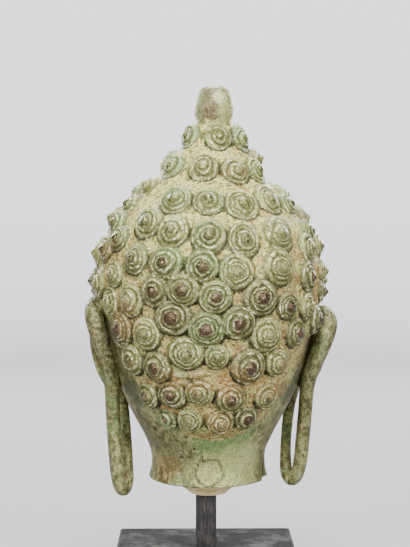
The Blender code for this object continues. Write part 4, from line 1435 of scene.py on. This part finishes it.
class AddStudio(bpy.types.Operator):
    """Adds the pale paper, the soft lights and the camera"""

    bl_idname = "mesh.add_head_studio"
    bl_label = "Studio"

    def execute(self, context):
        stage = context.scene.stage_settings
        add_paper(stage)
        x, y, z = SIDE_LIGHT
        for side in (1.0, -1.0):
            for end in (1.0, -1.0):
                name = f"side_{side:.0f}_{end:.0f}"
                add_light(name, (x * side, y * end, z), SIDE_LIGHT_SIZE, stage.side_power)
            place = (HIGH_LIGHT[0], HIGH_LIGHT[1] * side, HIGH_LIGHT[2])
            add_light(f"high_{side:.0f}", place, HIGH_LIGHT_SIZE, stage.high_power)
        context.scene.world = even_light(stage)
        lens = bpy.data.cameras.new("photo_camera")
        lens.lens = stage.lens
        camera = add_object("photo_camera", lens)
        block_top = BLOCK_BOX[1][2]
        camera.location = (stage.camera_aside, stage.camera_distance, block_top + stage.camera_above_block)
        pitch, yaw = stage.camera_pitch, stage.camera_yaw
        level = math.cos(pitch)
        ahead = Vector((-math.sin(yaw) * level, -math.cos(yaw) * level, -math.sin(pitch)))
        camera.rotation_euler = ahead.to_track_quat("-Z", "Y").to_euler()
        context.scene.camera = camera
        return {"FINISHED"}


class BronzeHeadPanel(bpy.types.Panel):
    """Lists the pieces and their settings"""

    bl_idname = "VIEW3D_PT_bronze_head"
    bl_label = "Bronze head"
    bl_space_type = "VIEW_3D"
    bl_region_type = "UI"
    bl_category = "Bronze head"

    def draw(self, context):
        for group in ("head_sizes", "bronze_look", "stand_look", "stage_settings"):
            settings = getattr(context.scene, group)
            box = self.layout.box()
            for name in settings.__annotations__:
                box.prop(settings, name)
        for operator in OPERATORS:
            self.layout.operator(operator.bl_idname)


OPERATORS = (AddBronzeHead, AddPlasterPlug, AddSquareRod, AddBaseBlock, AddStudio)
GROUPS = {
    "head_sizes": HeadSizes,
    "bronze_look": BronzeLook,
    "stand_look": StandLook,
    "stage_settings": StageSettings,
}


def register():
    for group in GROUPS.values():
        bpy.utils.register_class(group)
    for operator in OPERATORS:
        bpy.utils.register_class(operator)
    bpy.utils.register_class(BronzeHeadPanel)
    for name, group in GROUPS.items():
        setattr(bpy.types.Scene, name, PointerProperty(type=group))


def unregister():
    for name in GROUPS:
        delattr(bpy.types.Scene, name)
    bpy.utils.unregister_class(BronzeHeadPanel)
    for operator in OPERATORS:
        bpy.utils.unregister_class(operator)
    for group in GROUPS.values():
        bpy.utils.unregister_class(group)


def main():
    register()
    bpy.ops.mesh.add_bronze_head()
    bpy.ops.mesh.add_plaster_plug()
    bpy.ops.mesh.add_square_rod()
    bpy.ops.mesh.add_base_block()
    bpy.ops.mesh.add_head_studio()


if __name__ == "__main__":
    main()
